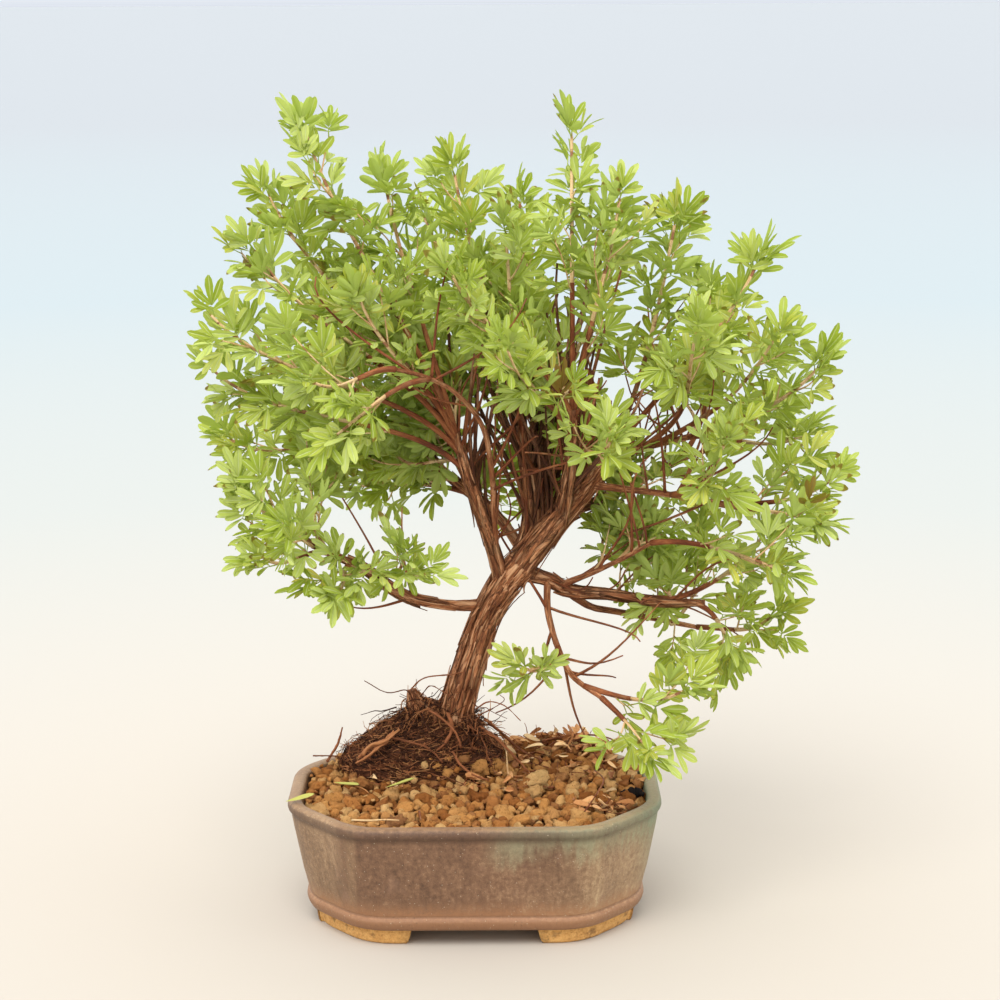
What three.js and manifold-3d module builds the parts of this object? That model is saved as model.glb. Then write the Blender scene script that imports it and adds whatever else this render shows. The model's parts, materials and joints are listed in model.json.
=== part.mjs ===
// A shrubby cinquefoil grown as a bonsai, in its glazed stoneware pot.
// Units are millimetres and +Z is up. Everything is laid out about the middle of the pot,
// on the surface that its feet stand on, with the front of the tree towards -Y.
import * as THREE from "three";
import { mergeVertices } from "three/addons/utils/BufferGeometryUtils.js";
import Module from "manifold-3d";

const wasm = await Module();
wasm.setup();

// The clear gap that neighbouring pieces keep.
const GAP = 0.3;

// The widest sliver that is taken up where solids are joined.
const SLIVER = 0.03;

// The pot's plan is a rectangle with its four corners cut back and eased.
const POT_WIDTH = 160;
const POT_DEPTH = 128;
const POT_HEIGHT = 54;
const CORNER_CUT_ACROSS = 29;
const CORNER_CUT_DEEP = 36;
const CORNER_EASE = 12;
const POINTS_A_CORNER = 3;
const OUTLINE_POINTS = 8 * POINTS_A_CORNER;

// The pot's section. Insets are measured inwards from the widest line of the rim.
const FOOT_HEIGHT = 7;
const FLOOR_TOP = 13;
const WALL_TAPER = 8.2;
const RIM_WALL = 6;
const INNER_TAPER = 7.5;
const FOOT_INSET = 11.6;
const FOOT_INNER_INSET = 23;
const FOOT_SINK = 2;
const FOOT_TAPER = 1.4;
const FOOT_GAP_LONG_SIDE = 53;
const FOOT_GAP_SHORT_SIDE = 40;
const FOOT_END_SLANT = 2;
const FOOT_GAP_MARGIN = 1;
const BASE_EDGE = 2.6;
const BELT_HEIGHTS = [1, 4, 6.2, 8.2];
const BELT_PROUD = 0.9;
const BELT_GROOVE = 0.4;
const LIP_DROP = 6;
const LIP_UNDERCUT = 1.5;
const LIP_BOTTOM = 3.8;
const LIP_TOP = 1.6;
const LIP_ROUNDING = 1.4;
const INNER_LIP = 1.2;
const FLOOR_FILLET = 3;
const DRAIN_RADIUS = 7;
const DRAIN_SIDES = 14;
const DRAIN_PLACES = [-32, 32];

// The plastic screen over each drain hole.
const SCREEN_SIDE = 22;
const SCREEN_THICKNESS = 1.2;
const SCREEN_HOLE = 6.4;
const SCREEN_PITCH = 8.4;

// The soil: fired clay granules, low along the front rim and heaped towards the back.
const SOIL_FRONT = 49;
const SOIL_RISE = 6.5;
const SOIL_SIDE_FALL = 2.5;
const GRAIN_SPACING = 6.6;
const GRAIN_RELIEF = 1.9;
const GRAIN_SCATTER = 1.3;
const GRAIN_HEIGHTS = { peak: 1, hollow: -0.5, spread: 0.6 };
const SOIL_BACK_FROM = 2.6;
const LITTER_HEAP = { x: 42, y: 44, rise: 5, across: 24, deep: 12 };

// The mat of fine old roots, as rings of height, half width and middle.
const MAT_BEHIND = 27;
const MAT_FLATTENING = 0.64;
const MAT_TURNS = 18;
const MAT_UNEVENNESS = 0.06;
const MAT_BOTTOM = 24;
const MAT_TOP = 77.5;
const MAT_RINGS = [
  { z: 24, half: 18, x: -23 },
  { z: 40, half: 28, x: -23 },
  { z: 52, half: 34, x: -24 },
  { z: 58, half: 34.5, x: -24 },
  { z: 64, half: 30, x: -23 },
  { z: 71, half: 24, x: -20 },
  { z: 76, half: 17, x: -17 },
];

// The wood: each limb's route, its radii at even stations along it, its sides and its steps.
const LIMBS = {
  trunk: {
    route: [
      [-16, 25, 50], [-12, 25, 66], [-8, 24, 83], [-1, 22, 106], [6, 20, 126], [14, 17, 140], [21, 15, 149],
    ],
    radii: [9.5, 8.4, 7.4, 6.9, 6.7, 7.2, 7.2],
    sides: 9,
    steps: 9,
  },
  root_crown: {
    route: [[-12, 25, 68], [-20, 25, 78], [-26, 24, 84], [-28, 24, 90]],
    radii: [8, 7.6, 4.6, 2.2],
    sides: 6,
    steps: 3,
  },
  right_leader: {
    route: [[18, 16, 145], [31, 14, 162], [41, 13, 174], [50, 12, 185], [59, 12, 197]],
    radii: [6.8, 6, 5.4, 4.6, 3.4],
    sides: 7,
    steps: 5,
  },
  centre_leader: {
    route: [[17, 16, 143], [24, 19, 161], [25, 24, 175], [23, 28, 191], [21, 30, 207]],
    radii: [5, 4.2, 3.6, 3, 2.2],
    sides: 6,
    steps: 4,
  },
  front_leader: {
    route: [[37, 13, 169], [40, 5, 183], [42, -3, 200], [42, -9, 220]],
    radii: [3.6, 3, 2.5, 1.8],
    sides: 5,
    steps: 3,
  },
  back_leader: {
    route: [[31, 14, 160], [33, 32, 171], [35, 46, 187], [33, 56, 203]],
    radii: [3.8, 3.2, 2.6, 1.9],
    sides: 5,
    steps: 3,
  },
  left_leader: {
    route: [[12, 16, 141], [7, 8, 161], [2, 2, 177], [-3, -4, 194], [-7, -8, 210]],
    radii: [3.8, 3, 2.7, 2.3, 1.8],
    sides: 5,
    steps: 4,
  },
  arching_stem: {
    route: [
      [10, 14, 147], [9, 2, 171], [8, -10, 194], [4, -24, 216], [-7, -38, 232], [-19, -50, 240], [-30, -58, 244],
    ],
    radii: [1.8, 1.4, 1.3, 1.2, 1.1, 1, 0.9],
    sides: 4,
    steps: 7,
  },
  low_left: {
    route: [[3, 21, 129], [-10, 12, 131], [-25, 2, 136], [-36, -8, 144], [-47, -15, 154], [-60, -20, 161]],
    radii: [3, 2.3, 2.2, 2, 1.8, 1.4],
    sides: 5,
    steps: 5,
  },
  low_right: {
    route: [[18, 16, 145], [33, 20, 140], [42, 18, 136], [57, 12, 136], [76, 6, 134], [99, 0, 134]],
    radii: [3.6, 3, 2.6, 2.3, 2.1, 1.8],
    sides: 5,
    steps: 5,
  },
  low_right_back: {
    route: [[40, 18, 136], [51, 26, 127], [69, 36, 121], [99, 44, 113]],
    radii: [2, 1.7, 1.5, 1.1],
    sides: 4,
    steps: 3,
  },
  cascade: {
    route: [[32, 20, 141], [32, 8, 129], [36, -4, 116], [42, -14, 106], [54, -24, 99]],
    radii: [1.9, 1.5, 1.4, 1.3, 1.1],
    sides: 4,
    steps: 4,
  },
  back_left: {
    route: [[22, 17, 153], [9, 36, 167], [-9, 52, 179], [-24, 62, 191]],
    radii: [3, 2.4, 2, 1.5],
    sides: 5,
    steps: 3,
  },
  middle_right: {
    route: [[49, 12, 184], [67, 4, 183], [88, -6, 182], [104, -14, 180]],
    radii: [2.2, 1.6, 1.4, 1.1],
    sides: 4,
    steps: 3,
  },
  upper_right: {
    route: [[57, 12, 194], [74, 18, 199], [94, 22, 203]],
    radii: [2.6, 1.9, 1.4],
    sides: 4,
    steps: 2,
  },
  back_right: {
    route: [[41, 13, 173], [56, 40, 172], [74, 60, 177], [93, 72, 184]],
    radii: [3, 2.3, 1.9, 1.4],
    sides: 5,
    steps: 3,
  },
  riser: {
    route: [[38, 19, 138], [50, 6, 146], [63, -6, 155], [75, -16, 164]],
    radii: [1.8, 1.4, 1.2, 1],
    sides: 4,
    steps: 3,
  },
};

// Each leafy shoot: the limb it grows from, how far along that limb, and where its leaf tips reach.
const SHOOTS = [
  ["left_leader", 1, -71, -10, 347],
  ["left_leader", 0.9, -95, -20, 299],
  ["left_leader", 0.98, -38, -2, 328],
  ["centre_leader", 1, -9, 14, 329],
  ["front_leader", 1, 42, 0, 346],
  ["front_leader", 0.88, 63, -15, 321],
  ["right_leader", 0.94, 87, -5, 309],
  ["right_leader", 1, 123, -16, 292],
  ["upper_right", 1, 152, -10, 246],
  ["upper_right", 0.6, 129, -38, 263],
  ["middle_right", 1, 161, -16, 199],
  ["upper_right", 0.96, 153, 24, 209],
  ["middle_right", 0.97, 150, -38, 174],
  ["riser", 1, 138, -46, 155],
  ["low_right", 0.85, 130, -16, 178],
  ["low_right_back", 1, 137, 14, 131],
  ["low_right", 0.97, 117, -12, 108],
  ["cascade", 1, 78, -58, 77],
  ["cascade", 0.86, 97, -42, 112],
  ["cascade", 0.5, 16, -38, 119],
  ["left_leader", 0.84, -115, -26, 272],
  ["left_leader", 0.94, -90, 8, 320],
  ["left_leader", 0.72, -117, -10, 246],
  ["low_left", 1, -96, -36, 168],
  ["low_left", 0.9, -104, -8, 196],
  ["low_left", 0.82, -56, -60, 149],
  ["arching_stem", 1, -72, -74, 246],
  ["arching_stem", 0.8, -62, -80, 214],
  ["low_left", 0.93, -76, -62, 190],
  ["low_left", 0.6, -26, -64, 176],
  ["back_left", 1, -117, 34, 207],
  ["centre_leader", 0.9, 14, 4, 305],
  ["front_leader", 0.7, 12, -82, 264],
  ["front_leader", 0.55, 58, -78, 226],
  ["front_leader", 0.92, -12, -56, 292],
  ["upper_right", 0.45, 92, -62, 268],
  ["middle_right", 0.6, 104, -66, 222],
  ["left_leader", 0.95, -48, -54, 282],
  ["back_leader", 1, -26, 74, 306],
  ["back_leader", 0.95, 20, 82, 312],
  ["back_leader", 0.85, 66, 76, 291],
  ["back_right", 1, 112, 74, 266],
  ["back_right", 0.9, 142, 68, 214],
  ["back_right", 0.75, 126, 84, 164],
  ["back_left", 0.85, -78, 76, 276],
  ["back_left", 0.65, -96, 86, 206],
  ["back_left", 0.5, -62, 84, 170],
  ["back_leader", 0.7, 4, 108, 240],
];
const SHOOT_RADIUS = 1.4;
const SHOOT_TIP_RADIUS = 0.8;
const SHOOT_SIDES = 3;
const SHOOT_STEP = 32;
const SHOOT_TURN_UP = 0.45;
const SHOOT_TURN_DOWN = -0.1;
const SHOOT_SWING = 0.45;
const SHOOT_HANDLE = 0.3;
const LEAFY_FROM = 0.47;
const LEAFY_STEPS = 3;
const TIP_LEAF_REACH = 13;

// A leaf: five leaflets, or three near a shoot's tip, that spread from the end of a short stalk.
const LEAFLET_LENGTH = 12.6;
const LEAFLET_WIDTH = 3.9;
const WIDEST_AT = 0.58;
const NOTCH_AT = 0.2;
const LEAF_THICKNESS = 1.4;
const LEAF_ARCH = 1.8;
const LEAF_ARCH_AT_WIDEST = 0.3 * LEAF_ARCH;
const STALK_LENGTH = 5;
const STALK_SINK = 0.4;
const STALK_WIDTH = 1.1;
const RIB_PEAK = 3;
const FIVE_LEAFLETS = [
  { angle: -80, size: 0.82 },
  { angle: -39, size: 0.95 },
  { angle: 0, size: 1 },
  { angle: 39, size: 0.95 },
  { angle: 80, size: 0.82 },
];
const THREE_LEAFLETS = [
  { angle: -44, size: 0.86 },
  { angle: 0, size: 1 },
  { angle: 44, size: 0.86 },
];
const LEAF_SPACING = 15.5;
const FEWEST_LEAVES = 3;
const MOST_LEAVES = 5;
const FIRST_LEAF = 0.75;
const LOWEST_LEAN = 62;
const HIGHEST_LEAN = 40;
const TIP_LEAN = 8;
const GOLDEN_ANGLE = 137.5;
const RETRY_TURN = 47;
const LEAF_ROLL = 40;

// The degrees by which all the leaves of a few sprays, given by number, are turned on round their stems.
const TURNED_ON = { 1: 25, 2: 25, 4: 25, 11: 25, 12: 25, 24: 25 };
const LEAF_CLEARANCE = 0.35;
const LEAF_TRIES = 10;

const MATERIALS = {
  glaze: new THREE.MeshStandardMaterial({ color: 0x8b6b5a, roughness: 0.45, metalness: 0 }),
  screen: new THREE.MeshStandardMaterial({ color: 0x202522, roughness: 0.6, metalness: 0 }),
  soil: new THREE.MeshStandardMaterial({ color: 0xb07c43, roughness: 0.95, metalness: 0 }),
  roots: new THREE.MeshStandardMaterial({ color: 0x3a2418, roughness: 0.95, metalness: 0 }),
  bark: new THREE.MeshStandardMaterial({ color: 0x6f4029, roughness: 0.85, metalness: 0 }),
  leaf: new THREE.MeshStandardMaterial({ color: 0x86b04a, roughness: 0.55, metalness: 0 }),
};

const bonsai = new THREE.Group();

// A repeatable draw from 0 to 1 for a few whole numbers.
function draw(...keys) {
  let state = 2166136261;
  for (const key of keys) {
    state = Math.imul(state ^ key, 16777619);
    state ^= state >>> 15;
    state = Math.imul(state, 2246822507);
    state ^= state >>> 13;
  }
  return (state >>> 0) / 4294967296;
}

// A closed geometry as a solid with its faces pointing out.
function solidOf(geometry) {
  const bare = geometry.index ? geometry.toNonIndexed() : geometry.clone();
  bare.deleteAttribute("normal");
  bare.deleteAttribute("uv");
  const merged = mergeVertices(bare, 1e-3);
  const corners = merged.index.array;
  const faces = [];
  for (let i = 0; i < corners.length; i += 3) {
    const [a, b, c] = corners.slice(i, i + 3);
    if (a !== b && b !== c && c !== a) faces.push(a, b, c);
  }
  const make = (list) =>
    new wasm.Manifold(
      new wasm.Mesh({
        numProp: 3,
        vertProperties: merged.attributes.position.array,
        triVerts: new Uint32Array(list),
      }),
    );
  const made = make(faces);
  return made.volume() < 0 ? make(faces.reverse()) : made;
}

function addPiece(name, solid, material) {
  const { vertProperties, triVerts } = solid.getMesh();
  const geometry = new THREE.BufferGeometry();
  geometry.setAttribute("position", new THREE.BufferAttribute(vertProperties, 3));
  geometry.setIndex(new THREE.BufferAttribute(triVerts, 1));
  geometry.computeVertexNormals();
  const mesh = new THREE.Mesh(geometry, material);
  mesh.name = name;
  bonsai.add(mesh);
}

// Solids joined to one, with the slivers that a joint leaves taken up by their neighbours.
const joined = (solids) => solids.reduce((whole, solid) => whole.add(solid)).simplify(SLIVER);

// The pot's outline at an inset, with the cut corners' faces moved in by the same distance.
function potOutline(inset) {
  const across = POT_WIDTH / 2 - inset;
  const deep = POT_DEPTH / 2 - inset;
  const slopeAcross = 1 / CORNER_CUT_ACROSS;
  const slopeDeep = 1 / CORNER_CUT_DEEP;
  const shrink = 1 - inset * (slopeAcross + slopeDeep - Math.hypot(slopeAcross, slopeDeep));
  const flatAcross = across - CORNER_CUT_ACROSS * shrink;
  const flatDeep = deep - CORNER_CUT_DEEP * shrink;
  const corners = [
    [across, -flatDeep],
    [across, flatDeep],
    [flatAcross, deep],
    [-flatAcross, deep],
    [-across, flatDeep],
    [-across, -flatDeep],
    [-flatAcross, -deep],
    [flatAcross, -deep],
  ].map(([x, y]) => new THREE.Vector2(x, y));
  return corners.flatMap((corner, i) => {
    const towards = (next) => next.clone().sub(corner).setLength(CORNER_EASE).add(corner);
    const start = towards(corners.at(i - 1));
    const end = towards(corners[(i + 1) % corners.length]);
    return new THREE.QuadraticBezierCurve(start, corner, end).getPoints(POINTS_A_CORNER - 1);
  });
}

// A lathed form whose rings follow the pot's outline. Its profile is a list of inset and height,
// and a null inset is the pot's middle.
function potForm(profile) {
  const lathe = new THREE.LatheGeometry(
    profile.map(([inset, z]) => new THREE.Vector2(POT_DEPTH - (inset ?? POT_DEPTH), z)),
    OUTLINE_POINTS,
  );
  const places = lathe.attributes.position;
  profile.forEach(([inset, z], ring) => {
    const outline = inset === null ? null : potOutline(inset);
    for (let turn = 0; turn <= OUTLINE_POINTS; turn++) {
      const { x, y } = outline ? outline[turn % OUTLINE_POINTS] : { x: 0, y: 0 };
      places.setXYZ(turn * profile.length + ring, x, y, z);
    }
  });
  return solidOf(lathe);
}

// The way between two feet, wider at the ground, as a block that runs along Y.
function footGap(width, length) {
  const section = new THREE.Shape([
    new THREE.Vector2(-width / 2 - FOOT_END_SLANT, -FOOT_GAP_MARGIN),
    new THREE.Vector2(width / 2 + FOOT_END_SLANT, -FOOT_GAP_MARGIN),
    new THREE.Vector2(width / 2, FOOT_HEIGHT),
    new THREE.Vector2(width / 2, FOOT_HEIGHT + FOOT_SINK + FOOT_GAP_MARGIN),
    new THREE.Vector2(-width / 2, FOOT_HEIGHT + FOOT_SINK + FOOT_GAP_MARGIN),
    new THREE.Vector2(-width / 2, FOOT_HEIGHT),
  ]);
  const block = new THREE.ExtrudeGeometry(section, { depth: length, bevelEnabled: false });
  return block.rotateX(Math.PI / 2).translate(0, length / 2, 0);
}

// One fired piece: wall, rolled rim, belt, floor with two drain holes, and four corner feet.
function pot() {
  const [beltLow, beltMiddle, grooveAt, wallFrom] = BELT_HEIGHTS.map((rise) => FOOT_HEIGHT + rise);
  const body = potForm([
    [null, FOOT_HEIGHT],
    [WALL_TAPER + BASE_EDGE, FOOT_HEIGHT],
    [WALL_TAPER, beltLow],
    [WALL_TAPER - BELT_PROUD, beltMiddle],
    [WALL_TAPER + BELT_GROOVE, grooveAt],
    [WALL_TAPER - BELT_GROOVE, wallFrom],
    [WALL_TAPER / 2, (FOOT_HEIGHT + POT_HEIGHT) / 2],
    [LIP_UNDERCUT, POT_HEIGHT - LIP_DROP],
    [0, POT_HEIGHT - LIP_BOTTOM],
    [0, POT_HEIGHT - LIP_TOP],
    [LIP_ROUNDING, POT_HEIGHT],
    [RIM_WALL - INNER_LIP, POT_HEIGHT],
    [RIM_WALL, POT_HEIGHT - INNER_LIP],
    [RIM_WALL + INNER_TAPER, FLOOR_TOP + FLOOR_FILLET],
    [RIM_WALL + INNER_TAPER + FLOOR_FILLET, FLOOR_TOP],
    [null, FLOOR_TOP],
  ]);
  const band = potForm([
    [FOOT_INSET, FOOT_HEIGHT + FOOT_SINK],
    [FOOT_INSET + FOOT_TAPER, 0],
    [FOOT_INNER_INSET, 0],
    [FOOT_INNER_INSET + FOOT_TAPER, FOOT_HEIGHT + FOOT_SINK],
    [FOOT_INSET, FOOT_HEIGHT + FOOT_SINK],
  ]);
  const betweenFront = solidOf(footGap(FOOT_GAP_LONG_SIDE, POT_DEPTH));
  const betweenSide = solidOf(footGap(FOOT_GAP_SHORT_SIDE, POT_WIDTH).rotateZ(Math.PI / 2));
  const feet = band.subtract(betweenFront).subtract(betweenSide);
  const drains = DRAIN_PLACES.map((x) => {
    const drain = new THREE.CylinderGeometry(DRAIN_RADIUS, DRAIN_RADIUS, 2 * FLOOR_TOP, DRAIN_SIDES);
    return solidOf(drain.rotateX(Math.PI / 2).translate(x, 0, FLOOR_TOP));
  });
  return drains.reduce((whole, drain) => whole.subtract(drain), body.add(feet));
}

// A square plastic screen with square holes.
function drainageScreen(x) {
  const plate = (side, cx, cy, thickness) => {
    const box = new THREE.BoxGeometry(side, side, thickness);
    return solidOf(box.translate(cx, cy, FLOOR_TOP + GAP + SCREEN_THICKNESS / 2));
  };
  let screen = plate(SCREEN_SIDE, x, 0, SCREEN_THICKNESS);
  for (const row of [-0.5, 0.5]) {
    for (const column of [-0.5, 0.5]) {
      const hole = plate(SCREEN_HOLE, x + column * SCREEN_PITCH, row * SCREEN_PITCH, 2 * SCREEN_THICKNESS);
      screen = screen.subtract(hole);
    }
  }
  return screen;
}

// The soil's height: up towards the back, down towards the sides, and a heap of litter at the back right.
function soilTop(x, y) {
  const back = THREE.MathUtils.smoothstep(y, -POT_DEPTH / 2, POT_DEPTH / SOIL_BACK_FROM);
  const side = (2 * x / POT_WIDTH) ** 2;
  const heap = Math.exp(
    -(((x - LITTER_HEAP.x) / LITTER_HEAP.across) ** 2) - ((y - LITTER_HEAP.y) / LITTER_HEAP.deep) ** 2,
  );
  return SOIL_FRONT + SOIL_RISE * back - SOIL_SIDE_FALL * side + LITTER_HEAP.rise * heap;
}

// The soil fills the pot, with granules raised as peaks on every third point of a grid, none beside
// another along a face's edge.
function soil(rootHole) {
  const across = Math.round(POT_WIDTH / GRAIN_SPACING);
  const deep = Math.round(POT_DEPTH / GRAIN_SPACING);
  const block = new THREE.BoxGeometry(POT_WIDTH, POT_DEPTH, 2, across, deep, 1);
  const places = block.attributes.position;
  for (let i = 0; i < places.count; i++) {
    if (places.getZ(i) < 0) {
      places.setZ(i, 0);
      continue;
    }
    const column = Math.round((places.getX(i) / POT_WIDTH + 0.5) * across);
    const row = Math.round((places.getY(i) / POT_DEPTH + 0.5) * deep);
    const x = places.getX(i) + GRAIN_SCATTER * (2 * draw(column, row, 1) - 1);
    const y = places.getY(i) + GRAIN_SCATTER * (2 * draw(column, row, 2) - 1);
    const { peak, hollow, spread } = GRAIN_HEIGHTS;
    const level = (column + row) % 3 === 0 ? peak : hollow;
    const height = GRAIN_RELIEF * (level + spread * (draw(column, row, 3) - 0.5));
    places.setXYZ(i, x, y, soilTop(x, y) + height);
  }
  const filling = potForm([
    [null, FLOOR_TOP + GAP],
    [RIM_WALL + INNER_TAPER + FLOOR_FILLET + GAP, FLOOR_TOP + GAP],
    [RIM_WALL + INNER_TAPER + 2 * GAP, FLOOR_TOP + FLOOR_FILLET],
    [RIM_WALL + 2 * GAP, POT_HEIGHT - INNER_LIP],
    [RIM_WALL + 2 * GAP, 2 * POT_HEIGHT],
    [null, 2 * POT_HEIGHT],
  ]);
  const overScreens = DRAIN_PLACES.map((x) => {
    const side = SCREEN_SIDE + 2 * GAP;
    const height = 2 * (SCREEN_THICKNESS + 2 * GAP);
    return solidOf(new THREE.BoxGeometry(side, side, height).translate(x, 0, FLOOR_TOP));
  });
  const filled = solidOf(block).intersect(filling).subtract(rootHole);
  return overScreens.reduce((whole, screen) => whole.subtract(screen), filled);
}

// The root mat's rings, or with extra width the plain hole that it stands in.
function matForm(extra, unevenness) {
  const rings = [
    { z: MAT_BOTTOM - extra, half: 0, x: MAT_RINGS[0].x },
    ...MAT_RINGS.map(({ z, half, x }, i) => ({ z: i ? z : z - extra, half: half + extra, x })),
    { z: MAT_TOP + extra, half: 0, x: MAT_RINGS.at(-1).x },
  ];
  const lathe = new THREE.LatheGeometry(rings.map(({ z, half }) => new THREE.Vector2(half, z)), MAT_TURNS);
  const places = lathe.attributes.position;
  rings.forEach(({ z, half, x }, ring) => {
    for (let turn = 0; turn <= MAT_TURNS; turn++) {
      const angle = (2 * Math.PI * turn) / MAT_TURNS;
      const reach = half * (1 - unevenness * draw(ring, turn % MAT_TURNS, 4));
      const y = MAT_BEHIND + reach * MAT_FLATTENING * Math.sin(angle);
      places.setXYZ(turn * rings.length + ring, x + reach * Math.cos(angle), y, z);
    }
  });
  return solidOf(lathe);
}

const point = ([x, y, z]) => new THREE.Vector3(x, y, z);

// A round stem along a stretch of a curve: a closed cylinder, bent, with its radius from a function.
function stem(curve, from, to, sides, steps, radiusAt) {
  const cylinder = new THREE.CylinderGeometry(1, 1, 1, sides, steps);
  const places = cylinder.attributes.position;
  const place = new THREE.Vector3();
  for (let i = 0; i < places.count; i++) {
    place.fromBufferAttribute(places, i);
    const station = from + (to - from) * (Math.round((place.y + 0.5) * steps) / steps);
    const along = curve.getTangent(station);
    const side = new THREE.Vector3(0, 1, 0).cross(along).normalize();
    const across = along.clone().cross(side);
    const radius = radiusAt(station);
    const centre = curve.getPoint(station);
    centre.addScaledVector(side, radius * place.x).addScaledVector(across, radius * place.z);
    places.setXYZ(i, centre.x, centre.y, centre.z);
  }
  return solidOf(cylinder);
}

// Each limb's curve, and its radius read off the list at a station from 0 to 1.
const limbCurves = {};
for (const [name, { route }] of Object.entries(LIMBS)) {
  limbCurves[name] = new THREE.CatmullRomCurve3(route.map(point), false, "centripetal");
}

function limbRadius({ radii }, station) {
  const where = station * (radii.length - 1);
  const before = Math.min(Math.floor(where), radii.length - 2);
  return THREE.MathUtils.lerp(radii[before], radii[before + 1], where - before);
}

function limb(name, extra = 0) {
  const { sides, steps } = LIMBS[name];
  return stem(limbCurves[name], 0, 1, sides, steps, (station) => limbRadius(LIMBS[name], station) + extra);
}

// A shoot leaves its limb, swings out towards its tip and turns up a little at the end.
function shootCurve([limbName, station, x, y, z]) {
  const start = limbCurves[limbName].getPoint(station);
  const reach = point([x, y, z]);
  const straight = reach.clone().sub(start);
  const length = straight.length();
  const turn = z > start.z ? SHOOT_TURN_UP : SHOOT_TURN_DOWN;
  const end = straight.clone().normalize().add(new THREE.Vector3(0, 0, turn)).normalize();
  const tip = reach.clone().addScaledVector(end, -TIP_LEAF_REACH);
  const out = limbCurves[limbName].getTangent(station);
  out.lerp(straight.clone().normalize(), SHOOT_SWING).normalize();
  return new THREE.CubicBezierCurve3(
    start,
    start.clone().addScaledVector(out, SHOOT_HANDLE * length),
    tip.clone().addScaledVector(end, -SHOOT_HANDLE * length),
    tip,
  );
}

const shootRadius = (station) => THREE.MathUtils.lerp(SHOOT_RADIUS, SHOOT_TIP_RADIUS, station);

// A leaf lying in XY with its stalk on +Y, as one thin arched blade cut to the rib between leaflets.
function leafGeometry(leaflets, thickness) {
  const outline = [{ x: STALK_WIDTH / 2, y: -STALK_SINK, z: 0 }];
  const heart = STALK_LENGTH;
  const along = (angle, distance, aside, z) => ({
    x: distance * Math.sin(angle) + aside * Math.cos(angle),
    y: heart + distance * Math.cos(angle) - aside * Math.sin(angle),
    z,
  });
  const spread = leaflets.toReversed();
  spread.forEach(({ angle, size }, i) => {
    const turn = THREE.MathUtils.degToRad(angle);
    const length = LEAFLET_LENGTH * size;
    outline.push(along(turn, length * WIDEST_AT, LEAFLET_WIDTH / 2, -LEAF_ARCH_AT_WIDEST));
    outline.push(along(turn, length, 0, -LEAF_ARCH));
    outline.push(along(turn, length * WIDEST_AT, -LEAFLET_WIDTH / 2, -LEAF_ARCH_AT_WIDEST));
    if (i < spread.length - 1) {
      const between = THREE.MathUtils.degToRad((angle + spread[i + 1].angle) / 2);
      outline.push(along(between, LEAFLET_LENGTH * NOTCH_AT, 0, 0));
    }
  });
  outline.push({ x: -STALK_WIDTH / 2, y: -STALK_SINK, z: 0 });
  const lens = new THREE.SphereGeometry(1, outline.length, 2);
  const places = lens.attributes.position;
  const columns = outline.length + 1;
  for (let column = 0; column < columns; column++) {
    const { x, y, z } = outline[column % outline.length];
    places.setXYZ(column, 0, RIB_PEAK, thickness / 2);
    places.setXYZ(columns + column, x, y, z);
    places.setXYZ(2 * columns + column, 0, RIB_PEAK, -thickness / 2);
  }
  return lens;
}

const fiveLeaf = leafGeometry(FIVE_LEAFLETS, LEAF_THICKNESS);
const threeLeaf = leafGeometry(THREE_LEAFLETS, LEAF_THICKNESS);
const fiveLeafRoom = leafGeometry(FIVE_LEAFLETS, LEAF_THICKNESS + 2 * LEAF_CLEARANCE);
const threeLeafRoom = leafGeometry(THREE_LEAFLETS, LEAF_THICKNESS + 2 * LEAF_CLEARANCE);

// What is already in place, so that a new leaf can be turned clear of it.
const occupied = [];

function occupy(solid, owner) {
  const { min, max } = solid.boundingBox();
  occupied.push({ solid, owner, box: new THREE.Box3(point(min), point(max)) });
}

function isClear(solid, owner) {
  const { min, max } = solid.boundingBox();
  const box = new THREE.Box3(point(min), point(max)).expandByScalar(LEAF_CLEARANCE);
  const near = occupied.filter((other) => other.owner !== owner && other.box.intersectsBox(box));
  return near.every((other) => other.solid.intersect(solid).isEmpty());
}

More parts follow.
